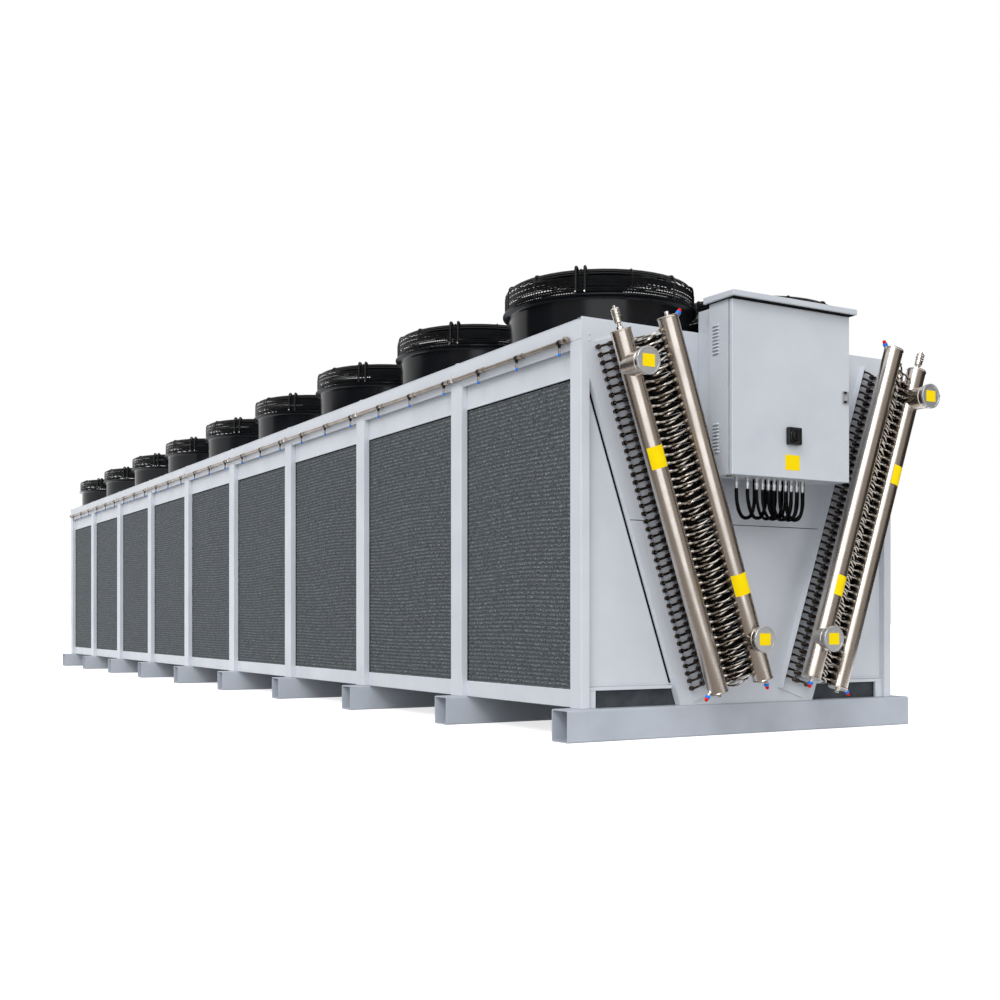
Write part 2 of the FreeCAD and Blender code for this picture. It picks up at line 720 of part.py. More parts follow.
# Spray line: a pipe along the side in clamps, with short nozzles under it
spray_parts = [
    cylinder("SprayPipe", "spray_radius", "frame_length - 2 * spray_end",
             ("pipe_x", "front_face + spray_end", "spray_height"), TURN_BACKWARD),
]
clamp_lines = ["front_face + spray_end + clamp_width / 2"]
clamp_lines += [post_line(number) for number in range(1, BAYS)]
clamp_lines += ["back_face - spray_end - clamp_width / 2"]
clamp = gather("Clamp", [box("ClampBlock", ("spray_gap + spray_radius", "clamp_width", "clamp_height"),
                             ("-(spray_gap + spray_radius)", "-clamp_width / 2",
                              "-clamp_height / 2"))])
spray_parts += copies(clamp, [("-half_width", line, "spray_height") for line in clamp_lines])
nozzle = gather("Nozzle", [cylinder("NozzleTube", "nozzle_radius", "nozzle_drop",
                                    ("0", "0", "-nozzle_drop"))])
for number in range(BAYS):
    first_line = "(front_face + end_post_width / 2)" if number == 0 else post_line(number)
    for step in range(NOZZLES_PER_BAY):
        spacing = f"({post_line(number + 1)} - {first_line}) / {NOZZLES_PER_BAY}"
        line = f"{first_line} + nozzle_shift + {step} * {spacing}"
        spray_parts += copies(nozzle, [("pipe_x", line, "spray_height")])
spray_pipe = node("spray_pipe_left", fuse("SprayPipeLeft", spray_parts))
node("spray_pipe_right", across("SprayPipeRight", spray_pipe))

# Control cabinet: a box on a stand-off in front of the end plate
node("cabinet_standoff", box("CabinetStandoff", ("standoff_width",
                                                 "cabinet_back_reach - plate_thickness",
                                                 "standoff_height"),
                             ("-standoff_width / 2", "front_face - cabinet_back_reach",
                              "cabinet_top - standoff_height")))
body_outer = box("CabinetOuter", ("cabinet_width", "body_reach - cabinet_back_reach",
                                  "cabinet_height"),
                 ("-half_cabinet", "front_face - body_reach", "cabinet_bottom"))
body_inner = box("CabinetInner", ("cabinet_width - 2 * cabinet_wall",
                                  "body_reach - cabinet_back_reach",
                                  "cabinet_height - 2 * cabinet_wall"),
                 ("-half_cabinet + cabinet_wall", "front_face - body_reach - cabinet_wall",
                  "cabinet_bottom + cabinet_wall"))
node("cabinet_body", cut("CabinetBody", body_outer, body_inner))
node("cabinet_roof", box("CabinetRoof", ("cabinet_width + 2 * lid_side",
                                         "cabinet_reach + lid_front - lid_back_reach", "lid_height"),
                         ("-half_cabinet - lid_side", "front_face - cabinet_reach - lid_front",
                          "cabinet_top")))

# Door, with a blind hole at its top and foot for the hinge pins
door_sheet = box("DoorSheet", ("cabinet_width", "door_thickness", "door_top - cabinet_bottom"),
                 ("-half_cabinet", "front_face - cabinet_reach", "cabinet_bottom"))
pin_depth = "hinge_pin_length + hinge_end_gap"
top_bore = cylinder("TopBore", "hinge_bore", pin_depth,
                    ("hinge_x", "hinge_y", f"door_top - ({pin_depth})"))
foot_bore = cylinder("FootBore", "hinge_bore", pin_depth, ("hinge_x", "hinge_y", "cabinet_bottom"))
node("cabinet_door", cut("CabinetDoor", door_sheet, gather("HingeBores", [top_bore, foot_bore])))

# Hinge pins: one hangs from the lid, and one stands on a foot under the body
top_pin = cylinder("TopPin", "hinge_pin_radius", "door_top_gap + hinge_pin_length",
                   ("hinge_x", "hinge_y", "door_top - hinge_pin_length"))
foot_level = "cabinet_bottom - hinge_end_gap"
foot_front = "hinge_y - hinge_setback"
foot_parts = [
    cylinder("FootPin", "hinge_pin_radius", "hinge_end_gap + hinge_pin_length",
             ("hinge_x", "hinge_y", foot_level)),
    box("FootPlate", ("hinge_foot_width",
                      f"front_face - body_reach + hinge_foot_grip - ({foot_front})",
                      "hinge_foot_thickness"),
        ("-half_cabinet", foot_front, f"{foot_level} - hinge_foot_thickness")),
    box("FootGrip", ("hinge_foot_width", "hinge_foot_grip", "hinge_end_gap"),
        ("-half_cabinet", "front_face - body_reach", foot_level)),
]
node("hinge_pins", gather("HingePins", [top_pin, fuse("HingeFoot", foot_parts)]))

# Door lock and the isolator switch on the door
node("door_lock", box("DoorLock", ("lock_width", "lock_depth", "lock_height"),
                      ("half_cabinet - lock_edge - lock_width",
                       "front_face - cabinet_reach - lock_depth", "lock_bottom")))
isolator_plate = box("IsolatorPlate", ("isolator_width", "isolator_depth", "isolator_width"),
                     ("-isolator_width / 2", "isolator_face",
                      "isolator_middle - isolator_width / 2"))
shaft_bore = cylinder("ShaftBore", "knob_shaft_radius + hinge_clearance", "isolator_depth",
                      ("0", "isolator_face", "isolator_middle"), TURN_BACKWARD)
node("isolator_base", cut("IsolatorBase", isolator_plate, shaft_bore))
knob_parts = [
    cylinder("KnobDisc", "knob_radius", "knob_depth", ("0", "knob_back", "isolator_middle"),
             TURN_FORWARD),
    box("KnobGrip", ("knob_grip_width", "knob_depth + knob_grip_depth", "knob_grip_length"),
        ("-knob_grip_width / 2", "knob_back - knob_depth - knob_grip_depth",
         "isolator_middle - knob_grip_length / 2")),
    cylinder("KnobShaft", "knob_shaft_radius", "knob_gap + knob_shaft_length",
             ("0", "knob_back", "isolator_middle"), TURN_BACKWARD),
]
node("isolator_handle", fuse("IsolatorHandle", knob_parts))

# Cable glands under the cabinet, and the cables that loop from them back into its floor
gland_places = [f"large_gland_start + {number} * large_gland_pitch" for number in range(LARGE_GLANDS)]
gland_places += [f"small_gland_start + {number} * small_gland_pitch" for number in range(SMALL_GLANDS)]
gland = cylinder("Gland", "gland_radius", "gland_length", ("0", "0", "0"))
gland_y = "front_face - gland_reach"
node("cable_glands", gather("CableGlands", copies(gland, [(x, gland_y, "gland_bottom")
                                                          for x in gland_places])))
loop_turn = (ABOUT_Z, "45 * 1 deg")
cable_parts = [
    cylinder("CableDown", "cable_radius", "cable_drop", ("0", "0", "-cable_drop")),
    put(gather("CableBend", [torus("CableRing", "cable_ring", "cable_radius",
                                   ("cable_ring", "0", "-cable_drop"), 180,
                                   (ABOUT_X, "-90 * 1 deg"))]), ("0", "0", "0"), loop_turn),
    cylinder("CableUp", "cable_radius", "cable_drop + gland_length",
             ("cable_shift", "cable_shift", "-cable_drop")),
]
cable = fuse("Cable", cable_parts)
node("control_cables", gather("ControlCables", copies(cable, [(x, gland_y, "gland_bottom")
                                                              for x in gland_places])))

doc.recompute()
for thing in doc.Objects:
    if "Invalid" in thing.State or "Error" in thing.State:
        raise RuntimeError(f"{thing.Name} ({thing.Label}) failed: {thing.State}")
os.makedirs("parts", exist_ok=True)
for name, shape in nodes.items():
    solid = shape.Shape
    if solid.isNull() or not solid.isValid():
        raise RuntimeError(f"{name} has no valid shape")
    solid.exportStep(f"parts/{name}.step")
    print(f"{name}: {len(solid.Solids)} solids, {solid.Volume / 1e9:.5f} m3")
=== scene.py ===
import logging
import math
import random
from dataclasses import dataclass
from enum import Enum
from typing import Iterable, Protocol, Sequence

import bmesh
import bpy
from mathutils import Matrix, Vector


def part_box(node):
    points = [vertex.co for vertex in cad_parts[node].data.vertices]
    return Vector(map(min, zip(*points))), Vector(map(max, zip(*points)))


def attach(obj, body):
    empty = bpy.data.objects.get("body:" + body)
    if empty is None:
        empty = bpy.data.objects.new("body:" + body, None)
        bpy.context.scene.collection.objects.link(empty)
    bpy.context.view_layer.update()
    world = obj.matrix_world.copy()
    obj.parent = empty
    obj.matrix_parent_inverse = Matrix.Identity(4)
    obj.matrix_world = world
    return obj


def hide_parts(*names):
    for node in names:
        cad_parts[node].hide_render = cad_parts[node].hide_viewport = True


# A long dry cooler: two coils set in a V, wet pads along both sides, two rows of fans on the
# roof, and headers and a control cabinet on the end that faces -Y. Metres, +Z up, floor at 0.

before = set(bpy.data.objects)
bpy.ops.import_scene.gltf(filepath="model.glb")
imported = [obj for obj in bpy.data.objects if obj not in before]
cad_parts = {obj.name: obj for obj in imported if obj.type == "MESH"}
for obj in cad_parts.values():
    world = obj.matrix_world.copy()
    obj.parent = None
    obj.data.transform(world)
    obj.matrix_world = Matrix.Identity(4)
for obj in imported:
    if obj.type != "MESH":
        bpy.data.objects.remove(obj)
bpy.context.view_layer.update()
COOLER = "cooler"
DOOR = "door"
ISOLATOR = "isolator"
RIB = "rib"
HERE = Matrix.Identity(4)
MIRROR_X = Matrix.Scale(-1, 4, (1, 0, 0))
MIRROR_Y = Matrix.Scale(-1, 4, (0, 1, 0))
BOTH_SIDES = (HERE, MIRROR_X)
FULL_TURN = 360.0
FOLD_ANGLE = math.radians(30)
ROUND_STEPS = 3
COIL_TILT = 18.9
NOISE_ROUGHNESS = 0.55
TAG_FILM = 0.0008
GREY_CARD = "#a09890"
DARK_CARD = "#37312d"

Point = Sequence[float]
Tree = bpy.types.NodeTree
Node = bpy.types.Node
Socket = bpy.types.NodeSocket

log = logging.getLogger("dry_cooler")


class Side(Enum):
    """The two long sides of the machine."""

    LEFT = -1
    RIGHT = 1

    @property
    def word(self) -> str:
        """The side's name as a word."""
        return self.name.lower()

    @property
    def flip(self) -> Matrix:
        """What turns a left-hand shape into one of this side."""
        return HERE if self is Side.LEFT else MIRROR_X


class Grain(Enum):
    """The way that the grinding lines run on a bare metal."""

    UPRIGHT = (1.0, 1.0, 0.02)
    LENGTHWISE = (1.0, 0.02, 1.0)
    NONE = (1.0, 1.0, 1.0)


def linear(colour: str) -> tuple[float, float, float, float]:
    """Turns an sRGB colour into linear light.

    Args:
        colour: The colour as a hex value such as "#c9cdd4".

    Returns:
        Red, green, blue and an alpha of 1.
    """
    shares = [int(colour[start:start + 2], 16) / 255 for start in (1, 3, 5)]
    light = [share / 12.92 if share <= 0.04045 else ((share + 0.055) / 1.055) ** 2.4 for share in shares]
    return (*light, 1.0)


def add_node(tree: Tree, kind: str, inputs: dict[str | int, object] | None = None,
             **settings: object) -> Node:
    """Adds a node with its settings and links.

    Args:
        tree: The node tree to add it to.
        kind: Blender's name of the node's type.
        inputs: Values or sockets by input name or number.
        **settings: Properties of the node itself.

    Returns:
        The new node.
    """
    node = tree.nodes.new(kind)
    for name, value in settings.items():
        setattr(node, name, value)
    for name, value in (inputs or {}).items():
        if isinstance(value, Socket):
            tree.links.new(value, node.inputs[name])
        else:
            node.inputs[name].default_value = value
    return node


@dataclass(frozen=True)
class Finish:
    """A finish of one colour that drifts towards a second one in soft patches.

    The grit gives the surface a fine tooth, and the patches keep a large face from looking flat.
    """

    name: str
    colour: str
    shade: str
    roughness: float
    metallic: float = 0.0
    ior: float = 1.5
    patch_mm: float = 350.0
    grit_mm: float = 6.0
    grit_depth_mm: float = 0.05
    wear: float = 0.06
    shine: float = 0.5
    grain: Grain = Grain.NONE
    lean: float = 0.0

    def material(self) -> bpy.types.Material:
        """Makes the material, or finds it if it is there already.

        Returns:
            The material, dressed with this finish's nodes.
        """
        known = bpy.data.materials.get(self.name)
        if known:
            return known
        made = bpy.data.materials.new(self.name)
        made.use_nodes = True
        made.diffuse_color = linear(self.colour)
        tree = made.node_tree
        shader = tree.nodes["Principled BSDF"]
        shader.inputs["Metallic"].default_value = self.metallic
        shader.inputs["IOR"].default_value = self.ior
        shader.inputs["Specular IOR Level"].default_value = self.shine
        height = self.draw(tree, shader, add_node(tree, "ShaderNodeTexCoord").outputs["Object"])
        relief = add_node(tree, "ShaderNodeBump", {
            "Height": height, "Distance": self.grit_depth_mm / 1000, "Strength": 1.0})
        tree.links.new(relief.outputs["Normal"], shader.inputs["Normal"])
        return made

    def draw(self, tree: Tree, shader: Node, place: Socket) -> Socket:
        """Links the pattern of the finish to the shader.

        Args:
            tree: The material's node tree.
            shader: Its shader.
            place: The surface's own coordinates.

        Returns:
            The pattern that raises the surface, from 0 to 1.
        """
        patches = add_node(tree, "ShaderNodeTexNoise", {
            "Vector": place, "Scale": 1000 / self.patch_mm, "Detail": 3.0, "Roughness": NOISE_ROUGHNESS})
        self.tint(tree, shader, patches.outputs["Fac"], self.colour, self.shade)
        spread = add_node(tree, "ShaderNodeMapRange", {
            "Value": patches.outputs["Fac"], "From Min": 0.3, "From Max": 0.7,
            "To Min": self.roughness - self.wear, "To Max": self.roughness + self.wear})
        tree.links.new(spread.outputs["Result"], shader.inputs["Roughness"])
        leaning = add_node(tree, "ShaderNodeMapping", {
            "Vector": place, "Rotation": (0.0, math.radians(self.lean), 0.0), "Scale": self.grain.value})
        grit = add_node(tree, "ShaderNodeTexNoise", {
            "Vector": leaning.outputs["Vector"], "Scale": 1000 / self.grit_mm, "Detail": 2.0,
            "Roughness": NOISE_ROUGHNESS})
        return grit.outputs["Fac"]

    def tint(self, tree: Tree, shader: Node, amount: Socket, low: str, high: str) -> None:
        """Colours the surface between two colours.

        Args:
            tree: The material's node tree.
            shader: Its shader.
            amount: A value that is near 0.35 for the first colour and 0.65 for the second.
            low: The first colour.
            high: The second colour.
        """
        share = add_node(tree, "ShaderNodeMapRange", {
            "Value": amount, "From Min": 0.35, "From Max": 0.65})
        mix = add_node(tree, "ShaderNodeMix", {
            0: share.outputs["Result"], 6: linear(low), 7: linear(high)}, data_type="RGBA")
        tree.links.new(mix.outputs[2], shader.inputs["Base Color"])


@dataclass(frozen=True)
class PadFinish(Finish):
    """Stiffened paper in ribs, with painted shade in the hollows between ribs, long fibres and pale specks.

    Real fibres are under 1 mm wide. They are drawn coarser, so that they show from a few metres.
    """

    groove_shade: str = "#4a4e51"
    fibre: str = "#9b9fa3"
    fibre_mm: float = 9.0
    stretch: tuple[float, float, float] = (1.0, 0.35, 1.6)

    def draw(self, tree: Tree, shader: Node, place: Socket) -> Socket:
        """Draws the ribs from the mesh's own attribute, with the hollows between them darkened as painted
        shade, and fibres and specks over them.

        Args:
            tree: The material's node tree.
            shader: Its shader.
            place: The surface's own coordinates.

        Returns:
            The fibres, which raise the surface.
        """
        rib = add_node(tree, "ShaderNodeAttribute", attribute_name=RIB).outputs["Fac"]
        along = add_node(tree, "ShaderNodeMapping", {"Vector": place, "Scale": self.stretch})
        fibres, specks = (
            add_node(tree, "ShaderNodeTexNoise", {
                "Vector": vector, "Scale": 1000 / self.fibre_mm, "Detail": detail,
                "Roughness": NOISE_ROUGHNESS}).outputs["Fac"]
            for vector, detail in ((along.outputs["Vector"], 4.0), (place, 1.0)))
        surface = linear(self.shade)
        layers = ((fibres, 0.38, 0.62, linear(self.colour)), (specks, 0.57, 0.72, linear(self.fibre)))
        for amount, low, high, colour in layers:
            share = add_node(tree, "ShaderNodeMapRange", {"Value": amount, "From Min": low, "From Max": high})
            surface = add_node(tree, "ShaderNodeMix", {
                0: share.outputs["Result"], 6: surface, 7: colour}, data_type="RGBA").outputs[2]
        # the hollows between ribs take the darker colour: painted shade
        depth = add_node(tree, "ShaderNodeMapRange", {"Value": rib, "From Min": 0.0, "From Max": 0.75})
        whole = add_node(tree, "ShaderNodeMix", {
            0: depth.outputs["Result"], 6: linear(self.groove_shade), 7: surface}, data_type="RGBA")
        tree.links.new(whole.outputs[2], shader.inputs["Base Color"])
        shader.inputs["Roughness"].default_value = self.roughness
        return fibres


@dataclass(frozen=True)
class FinFinish(Finish):
    """A stack of thin metal edges, with painted shade for the dark slots between them.

    Real fins stand 2 to 3 mm apart. They are drawn a little coarser, so that they show. At a
    scale of 1 Blender's wave pattern turns 20 radians in each metre.
    """

    fin_mm: float = 4.0
    wave_turn: float = 20.0

    def draw(self, tree: Tree, shader: Node, place: Socket) -> Socket:
        """Draws the fins' edges as bands along the machine, with painted shade in the slots between them.

        Args:
            tree: The material's node tree.
            shader: Its shader.
            place: The surface's own coordinates.

        Returns:
            The bands, which raise the surface.
        """
        bands = add_node(tree, "ShaderNodeTexWave", {
            "Vector": place, "Scale": math.tau / (self.wave_turn * self.fin_mm / 1000)}, bands_direction="Y")
        # the slots between the fins take the darker colour: painted shade
        self.tint(tree, shader, bands.outputs["Fac"], self.shade, self.colour)
        shader.inputs["Roughness"].default_value = self.roughness
        return bands.outputs["Fac"]


# Folded steel sheet with a sprayed and baked polyester powder: even, satin, a trace of orange peel
POWDER_COAT = Finish("powder_coated_steel", "#dadee4", "#d3d7de", 0.42)
# The same coat from another batch: a shade greyer, so that the cabinet stands out from the plate
CABINET_COAT = Finish("powder_coated_cabinet_steel", "#ced3d8", "#c6cbd2", 0.44)
# Hot-rolled tube with a thicker, duller coat of primer and grey enamel
SKID_ENAMEL = Finish("enamelled_steel_tube", "#c2c8d1", "#b6bcc5", 0.5, grit_depth_mm=0.09)
# Black powder coat on spun steel: deep and glossy enough to carry long soft reflections
BLACK_COAT = Finish("black_powder_coated_steel", "#0e1013", "#131519", 0.20, patch_mm=200.0,
                    shine=0.24)
# Welded wire dipped in black polyethylene: round and smooth, with thin bright glints on a dull black
DIPPED_WIRE = Finish("polythene_dipped_wire", "#0c0d0f", "#131416", 0.40, patch_mm=60.0, shine=0.28)
# Glass-filled polyamide, moulded: dull black with a faint grain
MOULDED_BLACK = Finish("moulded_polyamide", "#101113", "#17181a", 0.35, patch_mm=80.0, grit_mm=3.0,
                       shine=0.4)
# Ground austenitic stainless tube: warm grey, with fine lines along the tube
STAINLESS = {side: Finish(f"ground_stainless_steel_{side.word}", "#cdc6bf", "#beb6ae", 0.27,
                          metallic=1.0, patch_mm=160.0, grit_mm=2.5, grit_depth_mm=0.012,
                          grain=Grain.UPRIGHT, lean=-side.value * COIL_TILT)
             for side in Side}
# Thin drawn tube left outdoors: browner and duller than the headers, with one soft line of light
SPRAY_STEEL = Finish("drawn_stainless_steel_tube", "#a0968b", "#8c8176", 0.34, metallic=1.0,
                     patch_mm=120.0, grit_mm=3.0, grit_depth_mm=0.04, grain=Grain.LENGTHWISE)
# Machined face of a stainless disc: cooler and darker than the tube
DISC_STEEL = Finish("turned_stainless_steel", "#cbcdd0", "#bcbec1", 0.34, metallic=0.6,
                    patch_mm=40.0)
# Nickel-plated brass fittings: bright, almost a mirror
NICKEL = Finish("nickel_plated_brass", "#dcd8d2", "#cfcac2", 0.14, metallic=1.0, patch_mm=40.0,
                grit_depth_mm=0.02)
# Drawn steel dulled by flux: lighter than the copper behind it, darker than the headers
BRIGHT_TUBE = Finish("bright_drawn_steel_tube", "#b0a9a1", "#989189", 0.20, metallic=1.0,
                     patch_mm=30.0, grit_depth_mm=0.02)
# Copper bends browned by the brazing flame: dark brown with a narrow warm glint
COPPER = Finish("flame_browned_copper", "#5f554d", "#3d3530", 0.28, metallic=1.0, patch_mm=25.0,
                grit_depth_mm=0.06, wear=0.1)
# Dark copper, nearly black: on the feeder curtain this is painted shade, so that the loops before it stand
# out; on the spray tees it is their own dark colour
DARK_COPPER = Finish("dark_copper_and_painted_shade", "#191716", "#0d0c0b", 0.42, metallic=0.5, patch_mm=25.0,
                     shine=0.3)
# Galvanised sheet with a dull grey bloom
GALVANISED = Finish("galvanised_steel_sheet", "#868b93", "#797e86", 0.48, metallic=0.35,
                    patch_mm=35.0)
# Pressed aluminium: pale edges, with the slots between them painted dark as shade
FINS = FinFinish("pressed_aluminium_fins", "#8f9296", "#2c2d2f", 0.42, metallic=0.8,
                 grit_depth_mm=1.5)
# Cellulose stiffened with resin and kept wet: a rough slate grey without any gloss
WET_PAD = PadFinish("resin_stiffened_cellulose", "#6a6f73", "#3d4144", 0.85, grit_depth_mm=2.2,
                    shine=0.2)
# Moulded polypropylene caps: one clear colour with a waxy sheen
BLUE_CAP = Finish("moulded_blue_polypropylene", "#0a86f5", "#007ce6", 0.4, patch_mm=20.0, shine=0.2)
RED_CAP = Finish("moulded_red_polypropylene", "#e80404", "#d00000", 0.4, patch_mm=20.0, shine=0.2)
# Printed-grade vinyl film left blank: flat, strong yellow, smooth
YELLOW_TAG = Finish("yellow_vinyl_film", "#ffe200", "#ffda00", 0.6, patch_mm=60.0,
                    grit_depth_mm=0.01, shine=0.1)
# Extruded PVC sheath: the deepest black here, with a thin line of light along it
CABLE_SKIN = Finish("black_pvc_cable_skin", "#020203", "#050506", 0.22, patch_mm=40.0,
                    grit_depth_mm=0.02, shine=0.06)
# Black strip with no gloss at all: painted shade, set as a black line where the pads' reveals, the V's slants
# and seam and the lid's overhang fall into shadow
SHADE_STRIP = Finish("black_strip_painted_shade", "#0c0c0d", "#141415", 0.9, patch_mm=30.0, shine=0.1)
# Dull dark grey sheet: painted shade, set behind the openings at the foot of each end where the inside lies
# in shadow
SHADE_SHEET = Finish("dark_sheet_painted_shade", "#4b4e52", "#3f4246", 0.8, patch_mm=90.0, shine=0.2)


class Shape:
    """A mesh in the making."""

    def __init__(self) -> None:
        """Starts with an empty mesh."""
        self.bm = bmesh.new()

    def add(self, part: "Shape", places: Iterable[Matrix] = (HERE,)) -> "Shape":
        """Adds copies of another shape.

        Args:
            part: The shape to copy.
            places: Where each copy goes.

        Returns:
            This shape.
        """
        scrap = bpy.data.meshes.new("scrap")
        part.bm.to_mesh(scrap)
        for place in places:
            copy = scrap.copy()
            copy.transform(place)
            self.bm.from_mesh(copy)
            bpy.data.meshes.remove(copy)
        bpy.data.meshes.remove(scrap)
        return self

    def place(self, matrix: Matrix) -> "Shape":
        """Moves, turns or mirrors the whole shape."""
        bmesh.ops.transform(self.bm, matrix=matrix, verts=self.bm.verts)
        return self

    def bevel(self, edges: Sequence[bmesh.types.BMEdge], width: float, steps: int) -> "Shape":
        """Rounds some edges.

        Args:
            edges: Which edges.
            width: How far the rounding reaches from the edge.
            steps: How many faces it has.

        Returns:
            This shape.
        """
        bmesh.ops.bevel(self.bm, geom=edges, offset=width, offset_type="OFFSET", segments=steps,
                        profile=0.5, affect="EDGES", material=-1, clamp_overlap=True)
        return self

    def soften(self, width: float, steps: int = 2) -> "Shape":
        """Rounds the edges that turn by more than a fold's angle.

        Args:
            width: How far the rounding reaches from the edge.
            steps: How many faces it has.

        Returns:
            This shape.
        """
        edges = [edge for edge in self.bm.edges
                 if edge.is_manifold and edge.calc_face_angle() > FOLD_ANGLE]
        return self.bevel(edges, width, steps)

    def open_towards(self, *ways: Point) -> "Shape":
        """Deletes the faces that look some ways.

        Args:
            *ways: The ways that the open sides look.

        Returns:
            This shape.
        """
        faces = [face for face in self.bm.faces
                 if any(face.normal.dot(Vector(way)) > 0.5 for way in ways)]
        bmesh.ops.delete(self.bm, geom=faces, context="FACES_ONLY")
        return self

    def spin(self, lines: Sequence[bmesh.types.BMVert | bmesh.types.BMEdge], steps: int,
             sweep: float) -> "Shape":
        """Spins points and lines about the Z axis.

        Args:
            lines: What is spun.
            steps: How many faces go round.
            sweep: How far it goes round, in degrees.

        Returns:
            This shape.
        """
        bmesh.ops.spin(self.bm, geom=lines, cent=(0, 0, 0), axis=(0, 0, 1), dvec=(0, 0, 0),
                       angle=math.radians(sweep), steps=steps, use_merge=sweep == FULL_TURN,
                       use_duplicate=False)
        return self

    def close(self) -> "Shape":
        """Fills every open end.

        Returns:
            This shape.
        """
        rim = [edge for edge in self.bm.edges if edge.is_boundary]
        bmesh.ops.holes_fill(self.bm, edges=rim, sides=0)
        return self


def at(*place: float) -> Matrix:
    """The matrix that moves a shape to a place."""
    return Matrix.Translation(place)


def turn(angle: float, axis: str) -> Matrix:
    """The matrix that turns a shape by degrees about an axis."""
    return Matrix.Rotation(math.radians(angle), 4, axis)


def around(count: int, shift: float = 0.0) -> list[Matrix]:
    """The turns that spread copies evenly about the Z axis, from a share of one step on."""
    return [turn(FULL_TURN * (step + shift) / count, "Z") for step in range(count)]


def block(low: Point, high: Point, soft: float = 0.0, steps: int = 2) -> Shape:
    """A box between two corners.

    Args:
        low: Its lowest corner.
        high: Its highest corner.
        soft: The radius of its edges.
        steps: How many faces round each edge.

    Returns:
        The box.
    """
    shape = Shape()
    size = Vector(high) - Vector(low)
    middle = (Vector(low) + Vector(high)) / 2
    bmesh.ops.create_cube(shape.bm, size=1.0, matrix=at(*middle) @ Matrix.Diagonal((*size, 1.0)))
    return shape.soften(soft, steps) if soft else shape


def rod(start: Point, end: Point, radius: float, sides: int = 16) -> Shape:
    """A round bar.

    Args:
        start: The middle of one end.
        end: The middle of the other end.
        radius: Its radius.
        sides: How many faces go round it.

    Returns:
        The bar.
    """
    shape = Shape()
    run = Vector(end) - Vector(start)
    middle = (Vector(start) + Vector(end)) / 2
    bmesh.ops.create_cone(shape.bm, cap_ends=True, cap_tris=False, segments=sides, radius1=radius,
                          radius2=radius, depth=run.length,
                          matrix=at(*middle) @ run.to_track_quat("Z", "Y").to_matrix().to_4x4())
    return shape


def turned(outline: Sequence[tuple[float, float]], steps: int = 24, loop: bool = False,
           sweep: float = FULL_TURN) -> Shape:
    """A shape turned about the Z axis.

    Args:
        outline: Its radius and height at each corner.
        steps: How many faces go round it.
        loop: Whether the outline closes on itself.
        sweep: How far it goes round, in degrees.

    Returns:
        The turned shape.
    """
    shape = Shape()
    corners = [shape.bm.verts.new((radius, 0, height)) for radius, height in outline]
    lines = [shape.bm.edges.new(pair) for pair in zip(corners, corners[1:])]
    if loop:
        lines.append(shape.bm.edges.new((corners[-1], corners[0])))
    shape.spin(corners + lines, steps, sweep)
    bmesh.ops.remove_doubles(shape.bm, verts=shape.bm.verts, dist=1e-6)
    return shape


def ring(radius: float, wire: float, steps: int = 48, sides: int = 5,
         sweep: float = FULL_TURN) -> Shape:
    """A ring of round wire about the Z axis, whole or in part, with its ends closed.

    Args:
        radius: The radius of the ring.
        wire: The radius of the wire.
        steps: How many faces go round the ring.
        sides: How many faces go round the wire.
        sweep: How far it goes round, in degrees.

    Returns:
        The ring.
    """
    shape = Shape()
    start = at(radius, 0, 0) @ turn(90, "X")
    made = bmesh.ops.create_circle(shape.bm, cap_ends=False, segments=sides, radius=wire,
                                   matrix=start)["verts"]
    lines = list({edge for vert in made for edge in vert.link_edges})
    shape.spin(made + lines, steps, sweep)
    return shape if sweep == FULL_TURN else shape.close()


def plate(corners: Sequence[Point], depth: Point) -> Shape:
    """A flat outline given a depth.

    Args:
        corners: The outline's corners.
        depth: How far and which way it is drawn out.

    Returns:
        The plate.
    """
    shape = Shape()
    face = shape.bm.faces.new([shape.bm.verts.new(corner) for corner in corners])
    grown = bmesh.ops.extrude_face_region(shape.bm, geom=[face])["geom"]
    moved = [item for item in grown if isinstance(item, bmesh.types.BMVert)]
    bmesh.ops.translate(shape.bm, vec=depth, verts=moved)
    return shape


def tube(points: Sequence[Point], radius: float, sides: int = 8, steps: int = 4) -> Shape:
    """A round tube along a smooth line.

    Args:
        points: What steers the line, which starts and ends at the first and last.
        radius: The tube's radius.
        sides: How many faces go round it, an even number.
        steps: How many stretches it has for each point.

    Returns:
        The tube with closed ends.
    """
    curve = bpy.data.curves.new("route", "CURVE")
    curve.dimensions = "3D"
    curve.bevel_depth = radius
    curve.bevel_resolution = sides // 2 - 2
    curve.use_fill_caps = True
    line = curve.splines.new("NURBS")
    line.points.add(len(points) - 1)
    for point, position in zip(line.points, points):
        point.co = (*position, 1.0)
    line.order_u = 3
    line.use_endpoint_u = True
    line.resolution_u = steps
    carrier = bpy.data.objects.new("route", curve)
    mesh = bpy.data.meshes.new_from_object(carrier)
    shape = Shape()
    shape.bm.from_mesh(mesh)
    bmesh.ops.remove_doubles(shape.bm, verts=shape.bm.verts, dist=1e-6)
    bpy.data.objects.remove(carrier)
    bpy.data.curves.remove(curve)
    bpy.data.meshes.remove(mesh)
    return shape


def bolt(radius: float, height: float) -> Shape:
    """A hexagon head on a round washer, standing on the XY plane."""
    shape = rod((0, 0, 0), (0, 0, height * 0.25), radius * 1.45, 12)
    return shape.add(rod((0, 0, height * 0.25), (0, 0, height), radius, 6))


